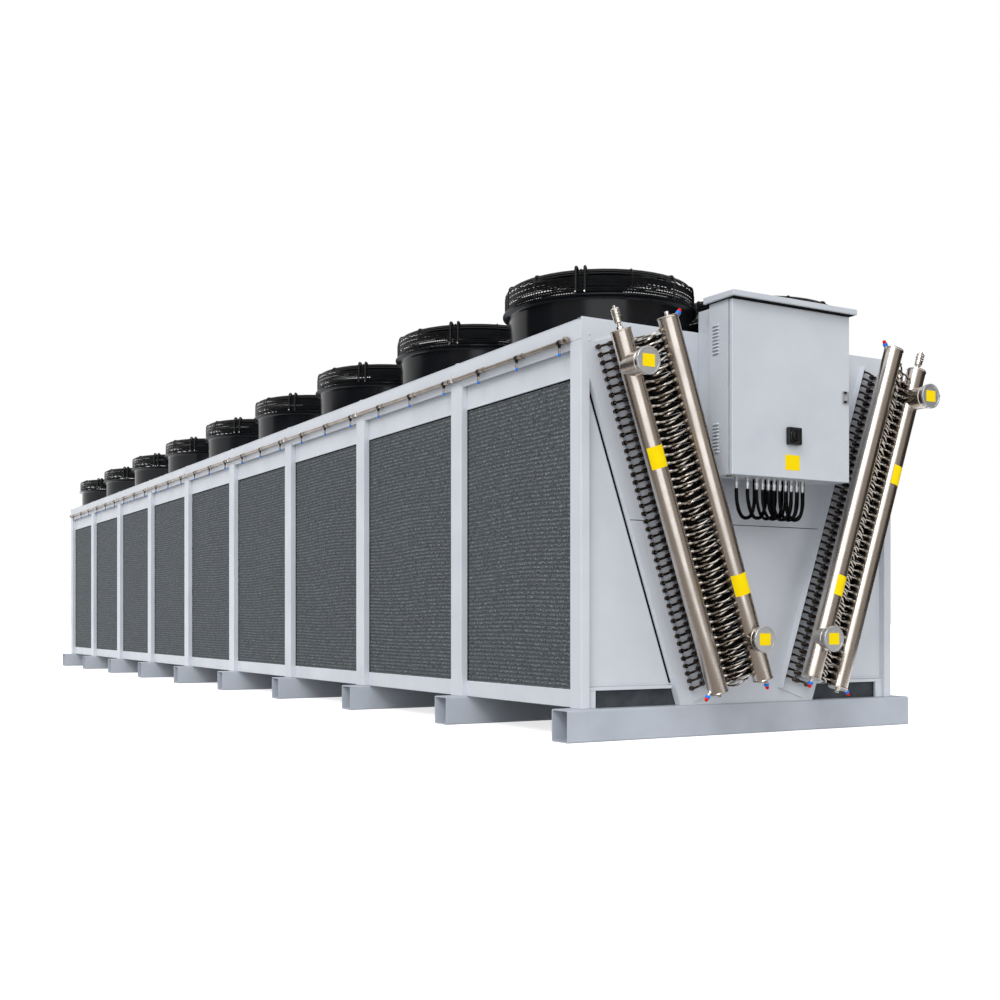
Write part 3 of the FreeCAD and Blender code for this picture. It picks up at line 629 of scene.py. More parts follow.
def show(name: str, shape: Shape, finish: Finish, slot: str | None, replaces: Sequence[str] = (),
         body: str = COOLER, sharper: float = 32.0) -> None:
    """Turns a shape into a piece of the machine.

    Args:
        name: The piece's name.
        shape: Its shape, in place.
        finish: What it is dressed with.
        slot: The record's material slot that it belongs to; not used here.
        replaces: The CAD nodes that it stands for.
        body: The CAD body that it rides on.
        sharper: The angle in degrees past which an edge is drawn sharp.
    """
    bmesh.ops.recalc_face_normals(shape.bm, faces=shape.bm.faces)
    mesh = bpy.data.meshes.new(name)
    shape.bm.to_mesh(mesh)
    shape.bm.free()
    mesh.materials.append(finish.material())
    mesh.shade_smooth()
    mesh.set_sharp_from_angle(angle=math.radians(sharper))
    piece = bpy.data.objects.new(name, mesh)
    bpy.context.scene.collection.objects.link(piece)
    normals = piece.modifiers.new("normals", "WEIGHTED_NORMAL")
    normals.keep_sharp = True
    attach(piece, body)
    if replaces:
        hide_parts(*replaces)
    log.info("%s: %d faces on %s", name, len(mesh.polygons), body)


def dress(node: str, finish: Finish) -> None:
    """Gives a CAD node that stays a better material.

    Args:
        node: The node's name.
        finish: What it is dressed with.
    """
    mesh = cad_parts[node].data
    mesh.materials.clear()
    mesh.materials.append(finish.material())
    log.info("%s: kept, in %s", node, finish.name)


class Assembly(Protocol):
    """A sub-assembly of the machine or the studio."""

    def build(self) -> None:
        """Builds and dresses its pieces."""


@dataclass(frozen=True)
class Plan:
    """The lines and levels that the sub-assemblies share."""

    bays: int = 9
    end_bay: float = 1.270
    bay_pitch: float = 1.345
    fan_offset: float = 0.521
    post_width: float = 0.125
    end_post_width: float = 0.096
    shoulder: float = 1.885
    coil_tilt: float = COIL_TILT
    coil_foot: float = 0.160
    coil_inset: float = 0.062
    plate: float = 0.004

    @property
    def half_width(self) -> float:
        """Half the width of the frame."""
        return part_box("fan_deck")[1].x

    @property
    def front(self) -> float:
        """The y of the frame's front plane."""
        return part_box("fan_deck")[0].y

    @property
    def back(self) -> float:
        """The y of the frame's back plane."""
        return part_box("fan_deck")[1].y

    @property
    def deck_top(self) -> float:
        """The height of the fan deck."""
        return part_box("fan_deck")[1].z

    @property
    def skid_top(self) -> float:
        """The height of the skids."""
        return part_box("base_skids")[1].z

    @property
    def rear_flip(self) -> Matrix:
        """What turns a shape at the front end into the same one at the back end."""
        return at(0, self.front + self.back, 0) @ MIRROR_Y

    @property
    def coil_place(self) -> Matrix:
        """What lays a shape in the plane of the left coil: x across it, y along it and z up it."""
        foot = self.edge_at(self.coil_foot) - self.coil_inset
        return at(-foot, self.front, self.coil_foot) @ turn(-self.coil_tilt, "Y")

    @property
    def inner_posts(self) -> list[float]:
        """The y of the middle of every post but those at the ends."""
        return [self.post_line(number) for number in range(1, self.bays)]

    @property
    def spans(self) -> list[tuple[float, float]]:
        """The y of the two post faces that each bay lies between, from the front.

        Returns:
            The start and the end of each bay.
        """
        half = self.post_width / 2
        starts = [self.front + self.end_post_width] + [line + half for line in self.inner_posts]
        ends = [line - half for line in self.inner_posts] + [self.back - self.end_post_width]
        return list(zip(starts, ends))

    def post_line(self, number: int) -> float:
        """The y of a post's middle, counted from the second post."""
        return self.front + self.end_bay + (number - 1) * self.bay_pitch

    def fan_places(self, side: Side) -> list[Matrix]:
        """Where the middles of one row of fans stand on the deck."""
        lines = [self.front + self.end_bay + (number - 0.5) * self.bay_pitch for number in range(self.bays)]
        return [at(side.value * self.fan_offset, line, self.deck_top) for line in lines]

    def edge_at(self, height: float) -> float:
        """Half the width of the V of an end plate at a height."""
        return self.half_width - (self.shoulder - height) * math.tan(math.radians(self.coil_tilt))


@dataclass
class Base:
    """The skids: open rectangular tubes across the machine."""

    plan: Plan
    depth: float = 0.140
    wall: float = 0.006
    corner: float = 0.009
    lip: float = 0.035

    def build(self) -> None:
        """Builds and dresses the skids."""
        starts = [self.plan.front - self.lip]
        starts += [line - self.depth / 2 for line in self.plan.inner_posts]
        starts += [self.plan.back + self.lip - self.depth]
        skids = Shape().add(self.tube(), [at(0, start, 0) for start in starts])
        show("skid_tubes", skids, SKID_ENAMEL, "skid_paint", ["base_skids"])

    def tube(self) -> Shape:
        """One skid: a rounded tube with open ends and a wall.

        Returns:
            The skid, with its front face at 0.
        """
        low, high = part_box("base_skids")
        skid = block((low.x, 0, 0), (high.x, self.depth, high.z)).open_towards((-1, 0, 0), (1, 0, 0))
        skid.bevel([edge for edge in skid.bm.edges if edge.is_manifold], self.corner, ROUND_STEPS)
        bmesh.ops.recalc_face_normals(skid.bm, faces=skid.bm.faces)
        bmesh.ops.solidify(skid.bm, geom=skid.bm.faces, thickness=self.wall)
        return skid


@dataclass
class SideFrame:
    """The posts, rails, panels and fascia of one long side."""

    plan: Plan
    side: Side
    fold: float = 0.004
    rail_depth: float = 0.060
    panel_depth: float = 0.012
    panel_gap: float = 0.0015
    panel_fold: float = 0.003
    hem: float = 0.010
    setback: float = 0.009
    lip_fold: float = 0.0025

    def build(self) -> None:
        """Builds and dresses the side."""
        word = self.side.word
        kit = (("post_row", self.posts(), f"posts_{word}"), ("foot_rails", self.rails(), "bottom_rails"),
               ("head_panels", self.head_panels(), "spandrel_panels"),
               ("fascia", self.fascia(), f"roof_fascia_{word}"))
        for name, shape, node in kit:
            show(f"{name}_{word}", shape.place(self.side.flip), POWDER_COAT, "frame_paint", [node])

    def posts(self) -> Shape:
        """The folded posts.

        Returns:
            Those of the left side.
        """
        low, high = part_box("posts_left")
        front, back, wide = self.plan.front, self.plan.back, self.plan.end_post_width
        half = self.plan.post_width / 2
        spans = [(front, front + wide), (back - wide, back)]
        spans += [(line - half, line + half) for line in self.plan.inner_posts]
        shape = Shape()
        for start, end in spans:
            shape.add(block((low.x, start, low.z), (high.x, end, high.z), self.fold, ROUND_STEPS))
        return shape

    def rails(self) -> Shape:
        """A folded rail at the foot of each bay.

        Returns:
            Those of the left side.
        """
        low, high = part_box("bottom_rails")
        shape = Shape()
        for start, end in self.plan.spans:
            shape.add(block((low.x, start, low.z), (low.x + self.rail_depth, end, high.z), self.fold,
                            ROUND_STEPS))
        return shape

    def head_panels(self) -> Shape:
        """The plain panels over the pads, each with a hem turned out along its foot.

        Returns:
            Those of the left side.
        """
        low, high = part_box("spandrel_panels")
        back, gap, fold = low.x + self.panel_depth, self.panel_gap, self.panel_fold
        shape = Shape()
        for start, end in self.plan.spans:
            shape.add(block((low.x, start + gap, low.z), (back, end - gap, high.z), fold))
            shape.add(block((low.x - fold, start + gap, low.z), (back, end - gap, low.z + self.hem), fold))
        return shape

    def fascia(self) -> Shape:
        """The beam along the top, and the lip that slopes back under it in each bay.

        Returns:
            That of the left side.
        """
        low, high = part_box("roof_fascia_left")
        beam_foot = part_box("posts_left")[1].z
        top, back = beam_foot + self.fold, low.x + self.setback
        shape = block((low.x, low.y, beam_foot), high, self.fold, ROUND_STEPS)
        for start, end in self.plan.spans:
            corners = [(low.x, start, top), (back, start, low.z), (back, start, top)]
            shape.add(plate(corners, (0, end - start, 0)).soften(self.lip_fold))
        return shape


@dataclass
class WetPads:
    """The wet pads of one side, with a rib at each sheet of cellulose."""

    plan: Plan
    side: Side
    rib_pitch: float = 0.0215
    rib_depth: float = 0.0034
    depth: float = 0.060
    gap: float = 0.001
    rows_per_rib: int = 5
    columns: int = 14
    wave: float = 0.007
    wave_turn: float = 5.3
    wave_step: float = 1.7
    bend: float = 2.1
    bend_turn: float = 2.3
    side_seal: float = 0.010
    top_seal: float = 0.007

    def build(self) -> None:
        """Builds and dresses the pads, and the black strips of painted shade along their top and rear edges.
        """
        low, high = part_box("wet_pads_left")
        face, middle = low.x - self.gap, low.x + self.depth / 2
        pads, reveal_shadows = Shape(), Shape()
        for number, (start, end) in enumerate(self.plan.spans):
            pads.add(block((low.x + self.rib_depth + self.gap, start, low.z),
                           (low.x + self.depth, end, high.z)))
            pads.add(self.face(low, high, start, end, number))
            # a black strip of painted shade in the reveal beside each pad, and one under the panel above it
            reveal_shadows.add(block((face, end - self.side_seal, low.z), (middle, end, high.z)))
            reveal_shadows.add(block((face, start, high.z - self.top_seal), (middle, end, high.z)))
        word, flip = self.side.word, self.side.flip
        show(f"cooling_pads_{word}", pads.place(flip), WET_PAD, "wet_pad", [f"wet_pads_{word}"],
             sharper=80.0)
        show(f"pad_seals_{word}", reveal_shadows.place(flip), SHADE_STRIP, "black_plastic")

    def face(self, low: Vector, high: Vector, start: float, end: float, number: int) -> Shape:
        """The ribbed outer face of one pad.

        Args:
            low: The lowest corner of the row of pads.
            high: Its highest corner.
            start: Where the pad begins.
            end: Where it ends.
            number: Which pad it is, so that no two ripple alike.

        Returns:
            A sheet with ribs, and a value for each rib's height on its points.
        """
        height = high.z - low.z
        ribs = round(height / self.rib_pitch)
        shape = Shape()
        rib = shape.bm.verts.layers.float.new(RIB)
        middle = at(low.x + self.rib_depth, (start + end) / 2, (low.z + high.z) / 2)
        size = Matrix.Diagonal(((end - start) / 2, height / 2, 1.0, 1.0))
        stand = Matrix(((0, 0, 1, 0), (1, 0, 0, 0), (0, 1, 0, 0), (0, 0, 0, 1)))
        bmesh.ops.create_grid(shape.bm, x_segments=self.columns, y_segments=ribs * self.rows_per_rib,
                              size=1.0, matrix=middle @ stand @ size)
        for vert in shape.bm.verts:
            along, rise = vert.co.y - start, vert.co.z - low.z
            bend = self.bend * math.sin(rise * self.bend_turn + number)
            ripple = self.wave * math.sin(along * self.wave_turn + number * self.wave_step + bend)
            phase = (rise + ripple * math.sin(math.pi * rise / height)) / self.rib_pitch * math.tau
            # this height also darkens the hollows in the pad's finish as painted shade
            vert[rib] = 0.5 + 0.5 * math.cos(phase)
            vert.co.x -= self.rib_depth * vert[rib]
        return shape


@dataclass
class SprayLine:
    """The spray pipe of one side, with its clamps, tees and nozzles."""

    plan: Plan
    side: Side
    radius: float = 0.011
    band: float = 0.0115
    height: float = 1.926
    gap: float = 0.007
    end: float = 0.105
    clamp: float = 0.020
    clamp_band: float = 0.014
    foot: float = 0.008
    ear: float = 0.007
    nozzles: int = 3
    shift: float = 0.115
    drop: float = 0.052
    joint_lead: float = 0.048
    tee_half: float = 0.010
    tee_band: float = 0.0142

    def build(self) -> None:
        """Builds and dresses the line."""
        word, flip = self.side.word, self.side.flip
        x = -(self.plan.half_width + self.gap + self.radius)
        front, back = self.plan.front + self.end, self.plan.back - self.end
        tees = [at(x, line, self.height) for line in self.nozzle_lines()]
        pipe = rod((x, front, self.height), (x, back, self.height), self.radius)
        cap = turned([(0, -0.021), (0.012, -0.019), (0.018, -0.010), (0.019, 0.0), (0.018, 0.010),
                      (0.013, 0.018), (0.011, 0.020), (0, 0.021)], 16)
        pipe.add(cap, [at(x, end, self.height) @ turn(90, "X") for end in (front, back)])
        joint = turned([(0, -0.016), (0.0145, -0.016), (0.0145, 0.016), (0, 0.016)], 16)
        pipe.add(joint.place(turn(90, "X")), [at(0, -self.joint_lead, 0) @ tee for tee in tees])
        pipe.add(rod((0, 0, -0.020), (0, 0, -self.drop - 0.002), 0.0055, 8), tees)
        lines = [front + self.clamp / 2, *self.plan.inner_posts, back - self.clamp / 2]
        clamps = Shape().add(self.saddle(), [at(-self.plan.half_width, line, self.height) for line in lines])
        tip = turned([(0, -0.013), (0.005, -0.013), (0.007, -0.010), (0.007, 0.0), (0, 0.0)], 10)
        tips = Shape().add(tip, [at(0, 0, -self.drop) @ tee for tee in tees])
        show(f"spray_tube_{word}", pipe.place(flip), SPRAY_STEEL, "stainless", [f"spray_pipe_{word}"])
        show(f"spray_clamps_{word}", clamps.place(flip), NICKEL, "bright_steel")
        show(f"spray_tees_{word}", Shape().add(self.tee(), tees).place(flip), DARK_COPPER, "bronze_tube")
        show(f"nozzle_tips_{word}", tips.place(flip), BLUE_CAP, None)

    def nozzle_lines(self) -> list[float]:
        """Spreads the nozzles evenly over each bay, from post to post.

        Returns:
            The y of every nozzle.
        """
        posts = [self.plan.front + self.plan.end_post_width / 2]
        posts += [self.plan.post_line(number) for number in range(1, self.plan.bays + 1)]
        lines = []
        for start, end in zip(posts, posts[1:]):
            pitch = (end - start) / self.nozzles
            lines += [start + self.shift + step * pitch for step in range(self.nozzles)]
        return lines

    def collar(self, outer: float, half: float, sides: int) -> Shape:
        """A band round the pipe."""
        outline = [(self.band, -half), (outer, -half), (outer, half), (self.band, half)]
        return turned(outline, sides, loop=True).place(turn(90, "X"))

    def saddle(self) -> Shape:
        """A clamp: a foot on the fascia and a band round the pipe with two ears on top.

        Returns:
            The clamp, with its foot at 0.
        """
        reach, half = self.gap + self.radius, self.clamp / 2
        shape = block((-reach, -half, -self.foot), (0, half, self.foot), 0.002)
        shape.add(self.collar(self.clamp_band, half, 16), [at(-reach, 0, 0)])
        ear = rod((-reach, 0, 0.012), (-reach, 0, 0.024), 0.004, 8)
        return shape.add(ear, [at(0, offset, 0) for offset in (-self.ear, self.ear)])

    def tee(self) -> Shape:
        """A tee under the pipe with the nozzle's nut."""
        nut = rod((0, 0, -0.010), (0, 0, -0.026), 0.0078, 8)
        return self.collar(self.tee_band, self.tee_half, 12).add(nut)


@dataclass
class FanDeck:
    """The deck under the fans, with its seams and the screws along them."""

    plan: Plan
    inset: float = 0.004
    seam_width: float = 0.036
    seam_height: float = 0.006
    fold: float = 0.002
    screws: int = 9
    screw: float = 0.006
    screw_inset: float = 0.05

    def build(self) -> None:
        """Builds the seams and screws, and dresses the deck."""
        plan = self.plan
        dress("fan_deck", POWDER_COAT)
        half, wide, top = plan.half_width - self.inset, self.seam_width / 2, plan.deck_top
        seams = Shape().add(block((-half, -wide, 0), (half, wide, self.seam_height), self.fold),
                            [at(0, line, top) for line in plan.inner_posts])
        run = 2 * half - 2 * self.screw_inset
        places = [at(-half + self.screw_inset + run * step / (self.screws - 1), line, top + self.seam_height)
                  for line in plan.inner_posts for step in range(self.screws)]
        show("deck_seams", seams.add(bolt(self.screw, self.screw), places), POWDER_COAT, "frame_paint")


@dataclass
class Fans:
    """One row of fans: shrouds, guards and rotors."""

    plan: Plan
    side: Side
    radius: float = 0.482
    wall: float = 0.004
    height: float = 0.190
    flare: float = 0.516
    flare_start: float = 0.158
    flare_turns: tuple[float, ...] = (22, 45, 68, 84)
    screws: int = 12
    screw: float = 0.006
    guard_radius: float = 0.506
    guard_height: float = 0.127
    shoulder: float = 0.040
    wire: float = 0.0035
    side_rings: int = 12
    crown_rings: int = 5
    top_rings: int = 24
    eye: float = 0.140
    unevenness: float = 0.28
    seed: int = 11
    rib: float = 0.0040
    ribs: int = 12
    hoop: float = 0.0070
    hoop_gap: float = 0.046
    hoop_angle: float = 225.0
    hub_foot: float = 0.060
    blades: int = 5
    blade_wall: float = 0.006

    def build(self) -> None:
        """Builds and dresses the row."""
        places, word = self.plan.fan_places(self.side), self.side.word
        kit = (("shrouds", self.shroud(), BLACK_COAT, "black_paint", [f"fan_shrouds_{word}"]),
               ("guards", self.guard(), DIPPED_WIRE, "black_paint", [f"fan_guards_{word}"]),
               ("rotors", self.rotor(), MOULDED_BLACK, "black_plastic", [f"fan_rotors_{word}"]),
               ("guard_bolts", self.hoop_bolts(), NICKEL, "bright_steel", []))
        for name, shape, finish, slot, nodes in kit:
            show(f"{name}_{word}", Shape().add(shape, places), finish, slot, nodes)

    def shroud(self) -> Shape:
        """A spun tube on a screwed foot, flared at its mouth and rolled at the edge.

        Returns:
            The shroud, standing on the deck.
        """
        outer, bore, top, start = self.radius, self.radius - self.wall, self.height, self.flare_start
        bend = [(math.sin(angle), 1 - math.cos(angle)) for angle in map(math.radians, self.flare_turns)]
        rise, spread = top - start, self.flare - outer
        outside = [(outer + spread * out, start + (rise - 0.008) * up) for up, out in bend]
        inside = [(radius - 0.006, height + 0.004) for radius, height in reversed(outside)]
        foot = [(bore, 0.0), (outer + 0.026, 0.0), (outer + 0.026, 0.005), (outer + 0.006, 0.005),
                (outer, 0.010)]
        edge = [(self.flare, top - 0.010), (self.flare + 0.001, top - 0.004), (self.flare - 0.003, top),
                (self.flare - 0.010, top)]
        shape = turned(foot + [(outer, start)] + outside + edge + inside + [(bore, start)], 64, loop=True)
        places = [step @ at(outer + 0.017, 0, 0.005) for step in around(self.screws, 0.5)]
        return shape.add(bolt(self.screw, self.screw), places)

    def guard(self) -> Shape:
        """A basket of welded wire with rounded shoulders, two carrying hoops and a motor plate.

        Returns:
            The guard, on top of the shroud.
        """
        shape = Shape()
        chance = random.Random(self.seed)
        floor, top = self.height + 0.004, self.guard_height - 0.006
        side = self.guard_radius - self.wire
        hoop = ring(side, self.wire, 44, 4)
        for step in range(self.side_rings):
            level = floor + 0.004 + (top - self.shoulder - 0.006) * step / (self.side_rings - 1)
            tilt = [turn(chance.uniform(-self.unevenness, self.unevenness), axis) for axis in "XY"]
            shape.add(hoop, [at(0, 0, level + chance.uniform(-0.001, 0.001)) @ tilt[0] @ tilt[1]])
        for step in range(1, self.crown_rings + 1):
            angle = math.radians(90 * step / self.crown_rings)
            shape.add(ring(side - self.shoulder * (1 - math.cos(angle)), self.wire, 44, 4),
                      [at(0, 0, floor + top - self.shoulder + self.shoulder * math.sin(angle))])
        outer = self.guard_radius - self.shoulder - 0.014
        for step in range(self.top_rings):
            radius = self.eye + (outer - self.eye) * step / (self.top_rings - 1)
            tilt = turn(chance.uniform(-self.unevenness, self.unevenness) / 2, "XY"[step % 2])
            shape.add(ring(radius, self.wire, 40, 4), [at(0, 0, floor + top) @ tilt])
        out, over = self.guard_radius - self.rib, floor + top + 0.003
        path = [(out, 0, self.height), (out, 0, floor + 0.05), (out, 0, floor + top - 0.002),
                (self.guard_radius - self.shoulder, 0, over), (0.30, 0, over), (0.11, 0, over)]
        shape.add(tube(path, self.rib, 4, 3), around(self.ribs, 0.5))
        shape.add(self.carrying_hoops(floor + top))
        motor = turned([(0, top - 0.012), (0.120, top - 0.012), (0.128, top - 0.006), (0.128, top + 0.001),
                        (0.120, top + 0.005), (0.095, top + 0.005), (0.090, top + 0.001), (0, top + 0.001)],
                       32)
        return shape.add(motor, [at(0, 0, floor)])

    def hoop_turns(self) -> list[Matrix]:
        """The places round the guard of the two carrying hoops."""
        spread = math.degrees(self.hoop_gap / 2 / self.guard_radius)
        return [turn(self.hoop_angle + offset, "Z") for offset in (-spread, spread)]

    def carrying_hoops(self, level: float) -> Shape:
        """Two bent rods that rise outside the guard and hook over its shoulder.

        Args:
            level: The height of the guard's top.

        Returns:
            Both rods.
        """
        out, peak = self.guard_radius + 0.004, level + 0.005
        path = [(out, 0, self.height - 0.002), (out, 0, peak - 0.060), (out, 0, peak),
                (out - 0.022, 0, peak + 0.008), (out - 0.050, 0, peak - 0.004),
                (out - 0.052, 0, peak - 0.030)]
        return Shape().add(tube(path, self.hoop), self.hoop_turns())

    def hoop_bolts(self) -> Shape:
        """The bright nuts at the feet of the hoops.

        Returns:
            Both nuts.
        """
        out = self.guard_radius + 0.004 + self.hoop
        nut = rod((out - 0.004, 0, self.height + 0.006), (out + 0.004, 0, self.height + 0.007), 0.005, 6)
        return Shape().add(nut, self.hoop_turns())

    def rotor(self) -> Shape:
        """An external-rotor motor with sickle blades.

        Returns:
            The rotor, over the deck.
        """
        low, head = self.hub_foot, self.height + 0.1
        hub = turned([(0, low - 0.004), (0.085, low), (0.104, low + 0.010), (0.110, low + 0.024),
                      (0.110, low + 0.090), (0.098, low + 0.098), (0.092, low + 0.100), (0.092, head),
                      (0, head)], 32)
        return hub.add(self.blade(low + 0.045), around(self.blades))

    def blade(self, level: float) -> Shape:
        """One blade: twisted, swept forward and wider towards its middle.

        Args:
            level: The height of its middle.

        Returns:
            The blade as a closed shape.
        """
        root, tip = 0.095, self.radius - self.wall - 0.012
        shape = Shape()
        bmesh.ops.create_grid(shape.bm, x_segments=12, y_segments=8, size=0.5)
        for vert in shape.bm.verts:
            out, share = vert.co.x + 0.5, vert.co.y * 2
            radius = root + (tip - root) * out
            width = 0.150 + 0.090 * math.sin(math.pi * min(1.0, out * 0.75 + 0.12))
            pitch = math.radians(40 - 24 * out)
            angle = share * width / 2 * math.cos(pitch) / radius + 0.55 * out * out
            camber = 0.016 * (1 - share * share)
            vert.co = Vector((radius * math.cos(angle), radius * math.sin(angle),
                              level + share * width / 2 * math.sin(pitch) * 0.72 + camber))
        bmesh.ops.recalc_face_normals(shape.bm, faces=shape.bm.faces)
        bmesh.ops.solidify(shape.bm, geom=shape.bm.faces, thickness=self.blade_wall)
        return shape


@dataclass
class EndPlate:
    """Both ends of the machine: the V-shaped plate and the sunk panels beside it."""

    plan: Plan
    flange: float = 0.043
    flange_end: float = 0.12
    seam: float = 1.068
    seam_gap: float = 0.0035
    fold: float = 0.004
    dark_line: float = 0.007
    gasket_depth: float = 0.028
    gasket_foot: float = 0.262
    shield_top: float = 0.243
    bolt_inset: float = 0.045
    bolt_heights: tuple[float, float] = (1.945, 1.916)
    recess: float = 0.036
    panel: float = 0.004
    rail_foot: float = 0.241
    rail: float = 0.017
    rail_depth: float = 0.016
    leg: float = 0.047

    @property
    def inside(self) -> float:
        """The distance from the middle to the posts' inner faces."""
        return -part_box("posts_left")[1].x

    def build(self) -> None:
        """Builds and dresses both ends."""
        shade_lines, shields = self.shade_lines()
        kit = (("end_sheet", self.sheet(), POWDER_COAT, "frame_paint"),
               ("corner_sheets", self.corners(), POWDER_COAT, "frame_paint"),
               ("end_bolts", self.bolts(), POWDER_COAT, "frame_paint"),
               ("end_shade_lines", shade_lines, SHADE_STRIP, "black_plastic"),
               ("end_shields", shields, SHADE_SHEET, "black_plastic"))
        for word, place in (("front", HERE), ("back", self.plan.rear_flip)):
            nodes = {"end_sheet": [f"{word}_end_plate"], "corner_sheets": ["corner_panels"]}
            for name, shape, finish, slot in kit:
                show(f"{name}_{word}", Shape().add(shape, [place]), finish, slot, nodes.get(name, ()))
        dress("bottom_trough", GALVANISED)

    def sheet(self) -> Shape:
        """The folded sheet, in two parts that meet at a seam across the V.

        Returns:
            The sheet of the front end, with its flanges and the header under the deck.
        """
        plan = self.plan
        foot, top = plan.skid_top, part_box("front_end_plate")[1].z
        half, y = plan.half_width, plan.front - plan.plate
        under, over = self.seam - self.seam_gap / 2, self.seam + self.seam_gap / 2
        low, lower, upper = plan.edge_at(foot), plan.edge_at(under), plan.edge_at(over)
        parts = [[(-low, y, foot), (low, y, foot), (lower, y, under), (-lower, y, under)],
                 [(-upper, y, over), (upper, y, over), (half, y, plan.shoulder), (half, y, top),
                  (-half, y, top), (-half, y, plan.shoulder)]]
        shape = Shape()
        for corners in parts:
            shape.add(plate(corners, (0, plan.plate, 0)).soften(0.0015))
        shape.add(self.strip(foot, plan.shoulder - self.flange_end), BOTH_SIDES)
        return shape.add(block((-half, plan.front, top - 0.016), (half, plan.front + 0.030, top - 0.004),
                               0.002))

    def slant(self, foot: float, top: float, y: float, left: float, right: float) -> list[Point]:
        """The corners of a strip along the left slant of the V.

        Args:
            foot: The height of its foot.
            top: The height of its top.
            y: Where it stands along the machine.
            left: How far its left edge is from the slant.
            right: How far its right edge is from the slant.

        Returns:
            Its four corners.
        """
        low, high = -self.plan.edge_at(foot), -self.plan.edge_at(top)
        return [(low + left, y, foot), (low + right, y, foot), (high + right, y, top), (high + left, y, top)]

    def strip(self, foot: float, top: float) -> Shape:
        """The flange turned back along the left slant.

        Args:
            foot: The height of its foot.
            top: The height of its top.

        Returns:
            The flange of the front end's left side.
        """
        span = self.fold / math.cos(math.radians(self.plan.coil_tilt))
        corners = self.slant(foot, top, self.plan.front - self.plan.plate, 0.0, span)
        return plate(corners, (0, self.flange, 0)).soften(0.0018)

    def shade_lines(self) -> tuple[Shape, Shape]:
        """The black strips and dark sheets of one end, which are painted shade.

        Returns:
            The black strips of painted shade beside both slants and under the seam, and the dark sheets of
            painted shade behind the openings at the foot.
        """
        plan = self.plan
        # black lines of painted shade beside both slants of the V and under its seam
        corners = self.slant(self.gasket_foot, plan.shoulder - 0.13, plan.front + self.gasket_depth,
                             -self.dark_line, self.fold)
        left = plate(corners, (0, self.dark_line, 0))
        left.add(block((-plan.edge_at(self.seam) + 0.010, plan.front, self.seam - 0.010),
                       (0, plan.front + 0.003, self.seam + 0.010)))
        # dark sheets behind the openings at the foot: painted shade of the inside
        sheet = block((-self.inside, plan.front + 0.044, plan.skid_top + 0.002),
                      (-plan.edge_at(plan.skid_top) + 0.050, plan.front + 0.048, self.shield_top))
        return Shape().add(left, BOTH_SIDES), Shape().add(sheet, BOTH_SIDES)

    def bolts(self) -> Shape:
        """The two small bolts in each upper corner.

        Returns:
            All four.
        """
        x = self.plan.half_width - self.bolt_inset
        face = self.plan.front - self.plan.plate
        places = [at(side.value * x, face, height) @ turn(90, "X")
                  for side in Side for height in self.bolt_heights]
        return Shape().add(bolt(0.005, 0.004), places)

    def corners(self) -> Shape:
        """The sunk triangles beside the V, with the rail and leg under each.

        Returns:
            Those of both sides.
        """
        plan, inside = self.plan, self.inside
        foot, head, y = self.rail_foot, self.rail_foot + self.rail, plan.front + self.recess
        face, edge = y - self.rail_depth, -plan.edge_at(head)
        tip = plan.shoulder - (plan.half_width - inside) / math.tan(math.radians(plan.coil_tilt))
        left = plate([(-inside, y, foot), (-plan.edge_at(foot), y, foot), (-inside, y, tip)],
                     (0, self.panel, 0))
        left.add(block((-inside, face, foot), (edge, y, head), 0.002))
        left.add(block((-inside, face, head + 0.004), (edge, face + 0.006, head + 0.010), 0.001))
        left.add(block((-inside, face, plan.skid_top), (-inside + self.leg, y, foot), 0.002))
        return Shape().add(left, BOTH_SIDES)


